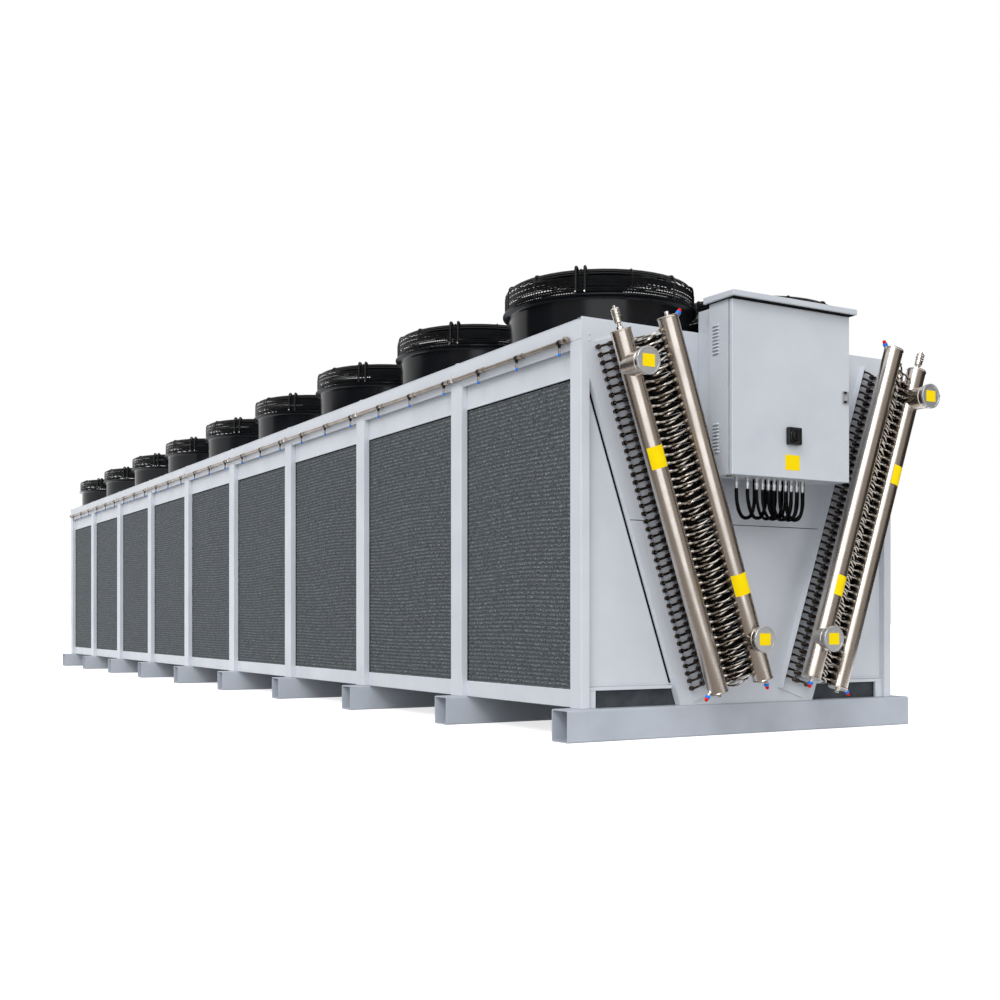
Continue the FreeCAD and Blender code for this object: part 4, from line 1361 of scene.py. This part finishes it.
@dataclass
class Coil:
    """One coil: the fins, the tube sheets at its ends and the return bends on them."""

    plan: Plan
    side: Side
    thickness: float = 0.200
    length: float = 1.850
    end_gap: float = 0.002
    sheet: float = 0.008
    sheet_edge: float = 0.022
    sheet_gap: float = 0.004
    flange: float = 0.034
    flange_wall: float = 0.003
    rows: int = 45
    row_pitch: float = 0.0395
    first_row: float = 0.077
    bend_lines: tuple[float, float] = (0.057, 0.147)
    bend_span: float = 0.070
    bend_tube: float = 0.0060
    bend_reach: float = 0.010
    bend_rise: float = 0.016
    socket: float = 0.0118
    socket_length: float = 0.016

    @property
    def face(self) -> float:
        """The y of the tube sheet's outer face."""
        return -(self.plan.plate + self.sheet)

    def build(self) -> None:
        """Builds and dresses the coil."""
        word = self.side.word
        place = self.side.flip @ self.plan.coil_place
        run = self.plan.back - self.plan.front
        fins = block((0, self.end_gap, 0), (self.thickness, run - self.end_gap, self.length))
        show(f"fin_block_{word}", fins.place(place), FINS, "fins", [f"coil_{word}"])
        ends = (HERE, at(0, run, 0) @ MIRROR_Y)
        sheets, bends = Shape().add(self.tube_sheet(), ends), Shape().add(self.end_bends(), ends)
        show(f"tube_sheets_{word}", sheets.place(place), POWDER_COAT, "frame_paint")
        show(f"copper_bends_{word}", bends.place(place), COPPER, "bronze_tube", [f"return_bends_{word}"])

    def tube_sheet(self) -> Shape:
        """The sheet that the tubes pass through, with a flange turned forward along its inner edge.

        Returns:
            The sheet at the front end.
        """
        foot, top, face = self.sheet_gap, self.length - self.sheet_gap, self.face
        shape = block((self.sheet_edge, face, foot), (self.thickness, -self.plan.plate, top), 0.002)
        return shape.add(block((self.thickness - self.flange_wall, face - self.flange, foot),
                               (self.thickness, face, top), 0.001))

    def end_bends(self) -> Shape:
        """Every return bend of one end, each with a brazed socket at both feet.

        Returns:
            The bends at the front end.
        """
        half = self.bend_span / 2
        flat = Matrix.Diagonal((1.0, self.bend_rise / half, 1.0, 1.0))
        bend = ring(half, self.bend_tube, 7, 6, 180)
        bend.place(at(0, -self.bend_reach, 0) @ flat @ turn(180, "Z"))
        foot = rod((0, 0, 0), (0, -self.socket_length, 0), self.socket, 10)
        bend.add(foot, [at(-half, 0, 0), at(half, 0, 0)])
        places = [at(line, self.face, self.first_row + row * self.row_pitch)
                  for line in self.bend_lines for row in range(self.rows)]
        return Shape().add(bend, places)


@dataclass(frozen=True)
class HeaderLine:
    """Where a header stands in the plane of its coil, and the heights of its stub and tag."""

    across: float
    reach: float
    start: float
    stub: float
    tag: float

    @property
    def mouth(self) -> Matrix:
        """What turns a shape about Z into one that looks forward from the header's stub."""
        return at(self.across, 0, self.stub) @ turn(90, "X")

    def spot(self, height: float) -> Matrix:
        """The place on the header's middle line at a height."""
        return at(self.across, -self.reach, height)


@dataclass
class Headers:
    """The two stainless headers of one coil, with their stubs, discs, vents, valves and feeders."""

    plan: Plan
    side: Side
    outer: HeaderLine = HeaderLine(across=0.010, reach=0.236, start=0.069, stub=1.687, tag=1.195)
    inner: HeaderLine = HeaderLine(across=0.253, reach=0.290, start=0.050, stub=0.260, tag=0.49)
    radius: float = 0.049
    cap: float = 0.051
    end: float = 1.858
    stub: float = 0.05715
    stub_reach: float = 0.385
    disc: float = 0.065
    disc_depth: float = 0.012
    disc_bolts: tuple[float, ...] = (35, 155, 275)
    vent_scale: float = 1.25
    tag_height: float = 0.105
    tag_sweep: float = 105.0
    tag_turn: float = -160.0
    disc_tag: float = 0.034
    rows: int = 44
    row_pitch: float = 0.0395
    first_row: float = 0.077
    feeder: float = 0.0050
    nut: float = 0.0092
    tail: float = 0.0055
    tail_line: float = 0.104
    layers: int = 4
    wander: float = 0.004
    swing: float = 0.011
    seed: int = 7

    def build(self) -> None:
        """Builds and dresses the pipework of the coil."""
        word = self.side.word
        place = self.side.flip @ self.plan.coil_place
        for name, line in (("outer", self.outer), ("inner", self.inner)):
            show(f"{name}_pipe_{word}", self.pipe(line).place(place), STAINLESS[self.side], "stainless",
                 [f"{name}_header_{word}"])
            show(f"{name}_blind_disc_{word}", self.blind_disc(line).place(place), DISC_STEEL, "stainless")
        show(f"vents_{word}", self.vent().place(place), NICKEL, "bright_steel", ["air_vents"])
        fittings, collars, tips = self.valves()
        show(f"valve_bodies_{word}", fittings.place(place), NICKEL, "bright_steel", ["drain_valves"])
        show(f"valve_collars_{word}", collars.place(place), BLUE_CAP, None)
        show(f"valve_tips_{word}", tips.place(place), RED_CAP, None)
        show(f"tags_{word}", self.tags().place(place), YELLOW_TAG, None)
        loops, nuts, curtain, tails = self.feeders()
        show(f"feeder_loops_{word}", loops.place(place), BRIGHT_TUBE, "stainless", [f"feeder_tubes_{word}"])
        show(f"feeder_nuts_{word}", nuts.place(place), BRIGHT_TUBE, "bronze_tube")
        show(f"feeder_curtain_{word}", curtain.place(place), DARK_COPPER, "bronze_tube")
        show(f"feeder_tails_{word}", tails.place(place), GALVANISED, "bronze_tube")

    def pipe(self, line: HeaderLine) -> Shape:
        """One header: the pipe, its flat ends with a weld under each rim, and the stub.

        Args:
            line: Where the header stands.

        Returns:
            The header in the plane of the coil.
        """
        start, end, radius, cap = line.start, self.end, self.radius, self.cap
        shape = turned([(0, start), (cap - 0.002, start), (cap, start + 0.002), (cap, start + 0.006),
                        (radius, start + 0.009), (radius, end - 0.009), (cap, end - 0.006),
                        (cap, end - 0.002), (cap - 0.002, end), (0, end)], 40)
        shape.place(line.spot(0))
        out, tip = self.stub, self.stub_reach - self.disc_depth
        stub = turned([(0, line.reach), (out, line.reach), (out, tip - 0.034), (out + 0.002, tip - 0.032),
                       (out + 0.002, tip - 0.028), (out, tip - 0.026), (out, tip), (0, tip)], 40)
        return shape.add(stub, [line.mouth])

    def blind_disc(self, line: HeaderLine) -> Shape:
        """The disc that closes a stub, with a raised rim and three small bolts.

        Args:
            line: Where the header stands.

        Returns:
            The disc in the plane of the coil.
        """
        low, top, rim = self.stub_reach - self.disc_depth, self.stub_reach, self.disc
        disc = turned([(0, low), (rim - 0.001, low), (rim, low + 0.002), (rim, top - 0.002),
                       (rim - 0.002, top), (rim - 0.007, top), (rim - 0.009, top - 0.004),
                       (0, top - 0.004)], 40)
        head = rod((0, 0, low), (0, 0, top + 0.001), 0.006, 6)
        disc.add(head, [turn(angle, "Z") @ at(rim - 0.004, 0, 0) for angle in self.disc_bolts])
        return disc.place(line.mouth)

    def vent(self) -> Shape:
        """The air vent on the outer header: a neck, a hexagon and a ribbed body.

        Returns:
            The vent in the plane of the coil.
        """
        shape = turned([(0, 0), (0.014, 0), (0.014, 0.004), (0.008, 0.006), (0.008, 0.026), (0.010, 0.030),
                        (0.0155, 0.034), (0.0155, 0.058), (0.017, 0.060), (0.017, 0.064), (0.0155, 0.066),
                        (0.0155, 0.072), (0.018, 0.074), (0.018, 0.079), (0.0155, 0.081), (0.0155, 0.086),
                        (0.017, 0.088), (0.017, 0.094), (0.012, 0.100), (0.006, 0.102), (0.006, 0.112),
                        (0, 0.114)], 20)
        shape.add(rod((0, 0, 0.004), (0, 0, 0.013), 0.0125, 6))
        wider = Matrix.Diagonal((self.vent_scale, self.vent_scale, 1.0, 1.0))
        return shape.place(self.outer.spot(self.end) @ wider)

    def valves(self) -> tuple[Shape, Shape, Shape]:
        """The plugs and small drain and bleed valves.

        Returns:
            Their bright bodies, blue collars and red tips.
        """
        outer, inner = self.outer.spot(self.outer.start), self.inner.spot(self.inner.start)
        crown = self.inner.spot(self.end)
        plug = turned([(0, 0), (0.016, 0), (0.016, 0.003), (0.011, 0.004), (0.011, 0.012), (0, 0.012)], 16)
        plug.add(rod((0, 0, 0.012), (0, 0, 0.021), 0.010, 6))
        body = turned([(0, -0.004), (0.009, -0.004), (0.009, 0.004), (0.006, 0.006), (0.006, 0.014),
                       (0.011, 0.016), (0.011, 0.022), (0, 0.022)], 14)
        body.add(rod((0, 0, 0.004), (0, 0, 0.010), 0.0105, 6))
        collar = turned([(0, 0.021), (0.010, 0.021), (0.0125, 0.024), (0.0125, 0.035), (0.009, 0.037),
                         (0, 0.037)], 14)
        tip = turned([(0, 0.036), (0.009, 0.036), (0.0095, 0.040), (0.0085, 0.049), (0.005, 0.053),
                      (0, 0.054)], 14)
        leans = [outer @ at(-self.radius + 0.004, 0, 0.022) @ turn(-128, "Y"),
                 inner @ at(0.004, -0.010, 0.002) @ turn(180, "Y"),
                 crown @ at(self.radius - 0.004, 0, -0.020) @ turn(48, "Y")]
        fittings = Shape().add(body, leans).add(plug, [outer @ turn(180, "X"), crown])
        return fittings, Shape().add(collar, leans), Shape().add(tip, leans)

    def tags(self) -> Shape:
        """Blank yellow tags: one bent round each header and one on each disc.

        Returns:
            All four in the plane of the coil.
        """
        low, high = self.radius + 0.0003, self.radius + 0.0003 + TAG_FILM
        bent = turned([(low, 0), (high, 0), (high, self.tag_height), (low, self.tag_height)], 14, loop=True,
                      sweep=self.tag_sweep).close()
        half = self.disc_tag
        square = block((-half, -TAG_FILM, -half * 0.85), (half, 0, half * 0.85))
        face = -(self.stub_reach - 0.0035)
        shape = Shape()
        for line in (self.outer, self.inner):
            shape.add(bent, [line.spot(line.tag) @ turn(self.tag_turn, "Z")])
            shape.add(square, [at(line.across, face, line.stub) @ turn(self.plan.coil_tilt, "Y")])
        return shape

    def feeders(self) -> tuple[Shape, Shape, Shape, Shape]:
        """The small tubes between the headers and the coil.

        Each row has bright loops that droop from both headers and cross, a close curtain of near-black tubes
        from one header to the other behind them, whose colour is painted shade, and a tail that runs back to
        the tube sheet.

        Returns:
            The loops, their nuts, the curtain and the tails.
        """
        chance = random.Random(self.seed)
        loops, nuts, curtain, tails = Shape(), Shape(), Shape(), Shape()
        outer, inner, wander, swing = self.outer, self.inner, self.wander, self.swing
        root, far = outer.across + self.radius - 0.004, inner.across - self.radius + 0.004
        front, deep = -outer.reach, -inner.reach
        for row in range(self.rows):
            level = self.first_row + (row + 0.5) * self.row_pitch
            sag, sway = 0.008 + chance.uniform(-wander, 0.007), chance.uniform(-swing, swing)
            lift = chance.uniform(-wander, wander)
            first = [(root, front, level), (root + 0.022, front - 0.012, level - sag * 0.3),
                     (root + 0.064 + sway, front - 0.020, level - sag),
                     (root + 0.104 + sway, front + 0.004, level + lift),
                     (root + 0.098 + sway, front + 0.050, level + sag),
                     (root + 0.050, front + 0.080, level + sag + 0.004)]
            second = [(far, deep, level + 0.010), (far - 0.024, deep - 0.004, level + 0.006),
                      (far - 0.060 - sway, deep + 0.010, level - sag * 0.5 + lift),
                      (far - 0.098 - sway, deep + 0.046, level - sag * 0.6),
                      (far - 0.094, deep + 0.096, level + 0.004)]
            low = level - self.row_pitch * 0.5 + chance.uniform(-wander, wander)
            under = [(far - 0.012, deep + 0.040, low + 0.004), (far - 0.034, deep + 0.016, low + 0.014),
                     (far - 0.066 + sway, deep + 0.018, low + 0.004 + lift),
                     (far - 0.096, deep + 0.040, low - 0.006), (far - 0.110, deep + 0.080, low - 0.002)]
            for route in (first, second, under):
                loops.add(tube(route, self.feeder, 6, 2))
            for start, end in (first[:2], second[:2]):
                nuts.add(rod(start, end, self.nut, 8))
            # near-black tubes behind the loops: painted shade for the gap between the headers
            for layer in range(self.layers if row < self.rows - 1 else 0):
                rise = level + (layer - 0.5) * self.row_pitch / self.layers
                tilt = chance.uniform(-wander, wander)
                curtain.add(rod((outer.across - 0.004, front + 0.058, rise - tilt),
                                (inner.across - 0.010, deep + 0.058, rise + tilt), self.tail, 6))
            tails.add(rod((self.tail_line, front + 0.030, level), (self.tail_line, -0.012, level),
                          self.feeder, 6))
        return loops, nuts, curtain, tails


@dataclass
class Cabinet:
    """The control cabinet with its stand-off, lid, door, lock and isolator."""

    soft: float = 0.004
    wall: float = 0.004
    lip: float = 0.018
    lip_depth: float = 0.003
    slope: float = 0.006
    lid_shade_inset: float = 0.012
    seal: float = 0.003
    slats: int = 9
    slat_pitch: float = 0.0168
    slat_sweep: float = 95.0
    louvre_heights: tuple[float, float] = (2.010, 1.530)
    louvre_width: float = 0.052
    louvre_shift: float = 0.02
    door_rim: float = 0.022
    door_hollow: float = 0.014
    tag: float = 0.047
    tag_height: float = 1.357
    boss: float = 0.0062

    def build(self) -> None:
        """Builds and dresses the cabinet."""
        self.housing()
        self.lid()
        self.louvres()
        self.door()
        self.lock()
        self.isolator()
        dress("hinge_pins", NICKEL)

    def housing(self) -> None:
        """Builds the body, open at the front with a lip down both sides, and the stand-off behind it."""
        low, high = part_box("cabinet_body")
        wall, lip, foot, head = self.wall, self.lip, low.z + self.wall, high.z - self.wall
        shape = block(low, high).open_towards((0, -1, 0))
        shape.bevel([edge for edge in shape.bm.edges if edge.is_manifold], self.soft, ROUND_STEPS)
        bmesh.ops.solidify(shape.bm, geom=shape.bm.faces, thickness=wall)
        for left, right in ((low.x + wall, low.x + lip), (high.x - lip, high.x - wall)):
            shape.add(block((left, low.y, foot), (right, low.y + self.lip_depth, head), 0.001))
        show("cabinet_shell", shape, CABINET_COAT, "frame_paint", ["cabinet_body"])
        low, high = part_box("cabinet_standoff")
        show("cabinet_spacer", block(low, high, self.soft, ROUND_STEPS), CABINET_COAT, "frame_paint",
             ["cabinet_standoff"])

    def lid(self) -> None:
        """Builds the overhanging lid, a pan with a deep rim, and the black strip of painted shadow under its
        overhang.
        """
        low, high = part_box("cabinet_roof")
        corners = [(low.x, low.y, low.z), (low.x, high.y, low.z), (low.x, high.y, high.z),
                   (low.x, low.y, high.z - self.slope)]
        shape = plate(corners, (high.x - low.x, 0, 0)).soften(self.soft, ROUND_STEPS)
        show("cabinet_lid", shape, CABINET_COAT, "frame_paint", ["cabinet_roof"])
        # a black strip under the lid: painted shadow of its overhang
        inset = self.lid_shade_inset
        seal = block((low.x + inset, low.y + inset, low.z - self.seal),
                     (high.x - inset, high.y - inset, low.z))
        show("lid_seal", seal, SHADE_STRIP, "black_plastic")

    def louvres(self) -> None:
        """Builds two groups of pressed louvres on each side."""
        low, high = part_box("cabinet_body")
        half = self.louvre_width / 2
        slat = turned([(0, -half), (0.0075, -half + 0.006), (0.0085, 0), (0.0075, half - 0.006), (0, half)],
                      8, sweep=self.slat_sweep)
        slat.close().place(turn(90, "X") @ turn(self.slat_sweep, "Z"))
        middle = (low.y + high.y) / 2 + self.louvre_shift
        left = Shape().add(slat, [at(low.x, middle, top - step * self.slat_pitch)
                                  for top in self.louvre_heights for step in range(self.slats)])
        show("louvres", Shape().add(left, BOTH_SIDES), CABINET_COAT, "frame_paint")

    def door(self) -> None:
        """Builds the door, a pan that is hollow behind, and the blank tag on it."""
        low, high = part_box("cabinet_door")
        shape = block(low, high)
        back = [face for face in shape.bm.faces if face.normal.y > 0.5]
        bmesh.ops.inset_region(shape.bm, faces=back, thickness=self.door_rim, depth=0.0)
        hollow = list({vert for face in back for vert in face.verts})
        bmesh.ops.translate(shape.bm, vec=(0, -self.door_hollow, 0), verts=hollow)
        show("door_leaf", shape.soften(self.soft, ROUND_STEPS), CABINET_COAT, "frame_paint",
             ["cabinet_door"], body=DOOR)
        half, high = self.tag, self.tag * 0.8
        tag = block((-half, low.y - TAG_FILM, self.tag_height - high), (half, low.y, self.tag_height + high))
        show("door_tag", tag, YELLOW_TAG, None, body=DOOR)

    def lock(self) -> None:
        """Builds the lock: a die-cast plate with a lever between two round bosses."""
        low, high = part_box("door_lock")
        back, x = high.y, (low.x + high.x) / 2
        base = block((low.x - 0.012, back - 0.007, low.z), (high.x, back, high.z), 0.003)
        base.add(block((x - 0.006, back - 0.014, low.z + 0.014), (x + 0.008, back - 0.006, high.z - 0.012),
                       0.003))
        show("lock_plate", base, DISC_STEEL, "black_plastic", ["door_lock"], body=DOOR)
        knobs = Shape()
        for height in (low.z + 0.009, high.z - 0.009):
            knobs.add(rod((low.x, back - 0.016, height), (low.x, back - 0.006, height), self.boss, 14))
        show("lock_bosses", knobs, MOULDED_BLACK, "black_plastic", body=DOOR)

    def isolator(self) -> None:
        """Builds the isolator: a square moulded base with a round recess, and its bar handle."""
        low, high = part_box("isolator_base")
        middle = (low + high) / 2
        base = block(low, high, 0.005, ROUND_STEPS)
        rim = turned([(0.028, 0.0), (0.034, 0.0), (0.036, -0.003), (0.034, -0.005), (0.028, -0.005)], 32,
                     loop=True)
        base.add(rim, [at(middle.x, low.y, middle.z) @ turn(-90, "X")])
        show("isolator_plate", base, MOULDED_BLACK, "black_plastic", ["isolator_base"], body=DOOR)
        low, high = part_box("isolator_handle")
        knob = turned([(0, 0), (0.0255, 0), (0.026, -0.001), (0.026, -0.006), (0.024, -0.008), (0, -0.008)],
                      32)
        handle = Shape().add(knob, [at(0, high.y - 0.021, middle.z) @ turn(-90, "X")])
        handle.add(rod((0, high.y - 0.022, middle.z), (0, high.y, middle.z), 0.007))
        handle.add(block((-0.007, low.y, middle.z - 0.030), (0.007, high.y - 0.022, middle.z + 0.030), 0.003))
        show("isolator_bar", handle, MOULDED_BLACK, "black_plastic", ["isolator_handle"], body=ISOLATOR)


@dataclass
class Cables:
    """The glands under the cabinet and the cables that loop from them back into its floor."""

    plan: Plan
    reach: float = 0.240
    large: tuple[float, ...] = (-0.284, -0.214)
    small_start: float = -0.155
    small_pitch: float = 0.0375
    small_count: int = 9
    slimness: float = 0.82
    radius: float = 0.0075
    large_radius: float = 0.009
    right_loop: tuple[float, float] = (0.135, 0.025)
    left_loop: tuple[float, float] = (-0.075, 0.045)
    turn_back: int = 8
    drop: float = 0.130
    seed: int = 3

    def build(self) -> None:
        """Builds and dresses the glands and cables."""
        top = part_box("cable_glands")[1].z
        y = self.plan.front - self.reach
        lines = list(self.large)
        lines += [self.small_start + step * self.small_pitch for step in range(self.small_count)]
        gland = turned([(0, 0.0), (0.012, 0.0), (0.012, -0.012), (0.0095, -0.014), (0.0095, -0.020),
                        (0.012, -0.022), (0.012, -0.048), (0.009, -0.054), (0, -0.054)], 14)
        gland.add(rod((0, 0, -0.024), (0, 0, -0.038), 0.0130, 6))
        collar = turned([(0, -0.053), (0.0088, -0.053), (0.0095, -0.056), (0.0095, -0.060),
                         (0.0078, -0.064), (0, -0.064)], 12)
        slim = Matrix.Diagonal((self.slimness, self.slimness, 1.0, 1.0))
        places = [at(x, y, top) @ slim for x in lines]
        show("gland_bodies", Shape().add(gland, places), DISC_STEEL, "bright_steel", ["cable_glands"])
        show("gland_collars", Shape().add(collar, places), MOULDED_BLACK, "black_plastic")
        show("cable_loops", self.loops(lines, y), CABLE_SKIN, "cable", ["control_cables"])

    def loops(self, lines: Sequence[float], y: float) -> Shape:
        """The cables: each leaves its gland, droops and rises into the floor behind it.

        Args:
            lines: The x of every gland.
            y: The y of the glands.

        Returns:
            All the cables.
        """
        low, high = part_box("cable_glands")
        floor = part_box("control_cables")[0].z + 0.010
        chance = random.Random(self.seed)
        runs = Shape()
        for number, x in enumerate(lines):
            foot = max(floor, low.z - self.drop + chance.uniform(-0.010, 0.014))
            side, deep = self.left_loop if number >= self.turn_back else self.right_loop
            side += chance.uniform(-0.015, 0.015)
            near, far = y + chance.uniform(-0.006, 0.006), y + deep
            half = (near + far) / 2
            route = [(x, y, low.z + 0.004), (x, y, low.z - 0.030), (x + side * 0.02, near, foot + 0.060),
                     (x + side * 0.12, near, foot + 0.016), (x + side * 0.38, half, foot - 0.010),
                     (x + side * 0.66, half, foot - 0.008), (x + side * 0.90, far, foot + 0.018),
                     (x + side, far, foot + 0.065), (x + side, far, low.z), (x + side, far, high.z)]
            thick = self.large_radius if number < len(self.large) else self.radius
            runs.add(tube(route, thick, 10, 5))
        return runs


@dataclass(frozen=True)
class Card:
    """A card beside the set: where it stands, its colour, and the sheets that lie before it."""

    name: str
    start: tuple[float, float]
    end: tuple[float, float]
    colour: str
    height: float = 4.2
    mats: tuple[tuple[Point, Point], ...] = ()

    def shape(self) -> Shape:
        """The upright card and its sheets.

        Returns:
            The card, in place.
        """
        run = Vector((*self.end, 0)) - Vector((*self.start, 0))
        shape = block((0, -0.01, 0), (run.length, 0.01, self.height))
        shape.place(at(*self.start, 0) @ run.to_track_quat("X", "Z").to_matrix().to_4x4())
        for low, high in self.mats:
            shape.add(block((*low, 0.001), (*high, 0.002)))
        return shape


@dataclass
class Studio:
    """The floor, the light and the camera."""

    place: tuple[float, float, float] = (-4.346, -10.8085, 0.575)
    heading: float = -29.87
    lens: float = 45.337
    sensor: float = 36.0
    rise: float = 0.12125
    far: float = 1000.0
    floor_size: float = 400.0
    floor_lift: float = 0.72
    world_light: float = 0.78
    key_light: float = 1.20
    key_angle: float = 25.0
    key_heading: tuple[float, float, float] = (0.70, 0.46, -0.75)
    fill_light: float = 0.88
    fill_angle: float = 60.0
    fill_heading: tuple[float, float, float] = (0.35, 0.93, -0.12)
    cards: tuple[Card, ...] = (
        Card("flag_left_grey", (-3.6, -7.8), (-3.6, -5.2), GREY_CARD,
             mats=(((-3.6, -7.6), (-1.25, -2.4)), ((-1.25, -7.6), (0.3, -5.9)))),
        Card("flag_left_dark", (-3.6, -5.2), (-3.6, -2.4), DARK_CARD),
        Card("flag_left_low", (-3.6, -2.4), (-3.6, 0.0), DARK_CARD, height=2.7),
        Card("flag_right_grey", (-0.7, -9.3), (2.5, -8.3), GREY_CARD),
        Card("flag_right_dark", (2.5, -8.3), (3.5, -5.5), DARK_CARD),
        Card("flag_right_side", (3.5, -5.5), (3.6, -1.5), DARK_CARD))

    def build(self) -> None:
        """Sets up the whole studio."""
        self.floor()
        self.world()
        self.sun("key", self.key_light, self.key_angle, self.key_heading)
        self.sun("fill", self.fill_light, self.fill_angle, self.fill_heading)
        self.flags()
        self.camera()
        bpy.context.scene.view_settings.view_transform = "Standard"

    def stand(self, name: str, shape: Shape) -> tuple[bpy.types.Object, Tree]:
        """Puts a piece of the set into the scene, with a material of its own.

        Args:
            name: The name of the piece and its material.
            shape: Its shape, in place.

        Returns:
            The piece and its material's node tree.
        """
        mesh = bpy.data.meshes.new(name)
        shape.bm.to_mesh(mesh)
        material = bpy.data.materials.new(name)
        material.use_nodes = True
        mesh.materials.append(material)
        piece = bpy.data.objects.new(name, mesh)
        bpy.context.scene.collection.objects.link(piece)
        return piece, material.node_tree

    def floor(self) -> None:
        """Lays a pale floor that looks almost white and keeps a soft shadow."""
        shape = Shape()
        bmesh.ops.create_grid(shape.bm, x_segments=1, y_segments=1, size=self.floor_size / 2)
        _, tree = self.stand("studio_floor", shape)
        shader = tree.nodes["Principled BSDF"]
        shader.inputs["Base Color"].default_value = linear("#c0c0c0")
        shader.inputs["Roughness"].default_value = 1.0
        shader.inputs["Specular IOR Level"].default_value = 0.0
        paper = add_node(tree, "ShaderNodeBsdfDiffuse", {"Color": linear("#e4e4e4")})
        lift = add_node(tree, "ShaderNodeEmission", {
            "Color": linear("#ffffff"), "Strength": self.floor_lift})
        seen = add_node(tree, "ShaderNodeAddShader", {0: paper.outputs[0], 1: lift.outputs[0]})
        mix = add_node(tree, "ShaderNodeMixShader", {
            0: self.seen_rays(tree), 1: shader.outputs[0], 2: seen.outputs[0]})
        tree.links.new(mix.outputs[0], tree.nodes["Material Output"].inputs["Surface"])

    def seen_rays(self, tree: Tree) -> Socket:
        """Tells rays that show the background from those that only carry light.

        Args:
            tree: The node tree to ask in.

        Returns:
            A value of 1 for camera, glossy and transmission rays, and else 0.
        """
        path = add_node(tree, "ShaderNodeLightPath")
        bright = add_node(tree, "ShaderNodeMath", {
            0: path.outputs["Is Camera Ray"], 1: path.outputs["Is Glossy Ray"]}, operation="MAXIMUM")
        both = add_node(tree, "ShaderNodeMath", {
            0: bright.outputs[0], 1: path.outputs["Is Transmission Ray"]}, operation="MAXIMUM")
        return both.outputs[0]

    def world(self) -> None:
        """Makes a plain white surround, dimmer where it only lights the object."""
        world = bpy.data.worlds.new("studio")
        bpy.context.scene.world = world
        world.use_nodes = True
        tree = world.node_tree
        tree.nodes.clear()
        shown = add_node(tree, "ShaderNodeBackground", {"Color": linear("#ffffff"), "Strength": 1.0})
        light = add_node(tree, "ShaderNodeBackground", {
            "Color": linear("#fafcff"), "Strength": self.world_light})
        mix = add_node(tree, "ShaderNodeMixShader", {
            0: self.seen_rays(tree), 1: light.outputs[0], 2: shown.outputs[0]})
        add_node(tree, "ShaderNodeOutputWorld", {"Surface": mix.outputs[0]})

    def sun(self, name: str, strength: float, angle: float, heading: Point) -> None:
        """Hangs one large soft lamp.

        Args:
            name: Its name.
            strength: How bright it is.
            angle: How wide it looks, in degrees.
            heading: The way that its light goes.
        """
        lamp = bpy.data.lights.new(name, "SUN")
        lamp.energy = strength
        lamp.angle = math.radians(angle)
        holder = bpy.data.objects.new(name, lamp)
        holder.matrix_world = Vector(heading).to_track_quat("-Z", "Y").to_matrix().to_4x4()
        bpy.context.scene.collection.objects.link(holder)

    def flags(self) -> None:
        """Stands up grey and dark cards, which show only as the bands in polished metal."""
        for card in self.cards:
            piece, tree = self.stand(card.name, card.shape())
            glow = add_node(tree, "ShaderNodeEmission", {"Color": linear(card.colour), "Strength": 1.0})
            tree.links.new(glow.outputs[0], tree.nodes["Material Output"].inputs["Surface"])
            piece.visible_camera = piece.visible_diffuse = piece.visible_shadow = False
            piece.visible_transmission = False

    def camera(self) -> None:
        """Sets the photograph's view: level, from the front left, with the frame shifted up."""
        data = bpy.data.cameras.new("camera")
        data.lens = self.lens
        data.sensor_width = self.sensor
        data.shift_y = self.rise
        data.clip_end = self.far
        camera = bpy.data.objects.new("camera", data)
        camera.location = self.place
        camera.rotation_euler = (math.radians(90), 0, math.radians(self.heading))
        bpy.context.scene.collection.objects.link(camera)
        bpy.context.scene.camera = camera


def main() -> None:
    """Builds the machine's looks, sub-assembly by sub-assembly, and the studio round it."""
    logging.basicConfig(level=logging.INFO, format="%(name)s: %(message)s")
    plan = Plan()
    assemblies: list[Assembly] = [Studio(), Base(plan), FanDeck(plan), EndPlate(plan), Cabinet(),
                                  Cables(plan)]
    for side in Side:
        assemblies += [SideFrame(plan, side), WetPads(plan, side), SprayLine(plan, side),
                       Fans(plan, side), Coil(plan, side), Headers(plan, side)]
    for assembly in assemblies:
        log.info("building %s", type(assembly).__name__)
        assembly.build()


if __name__ == "__main__":
    main()
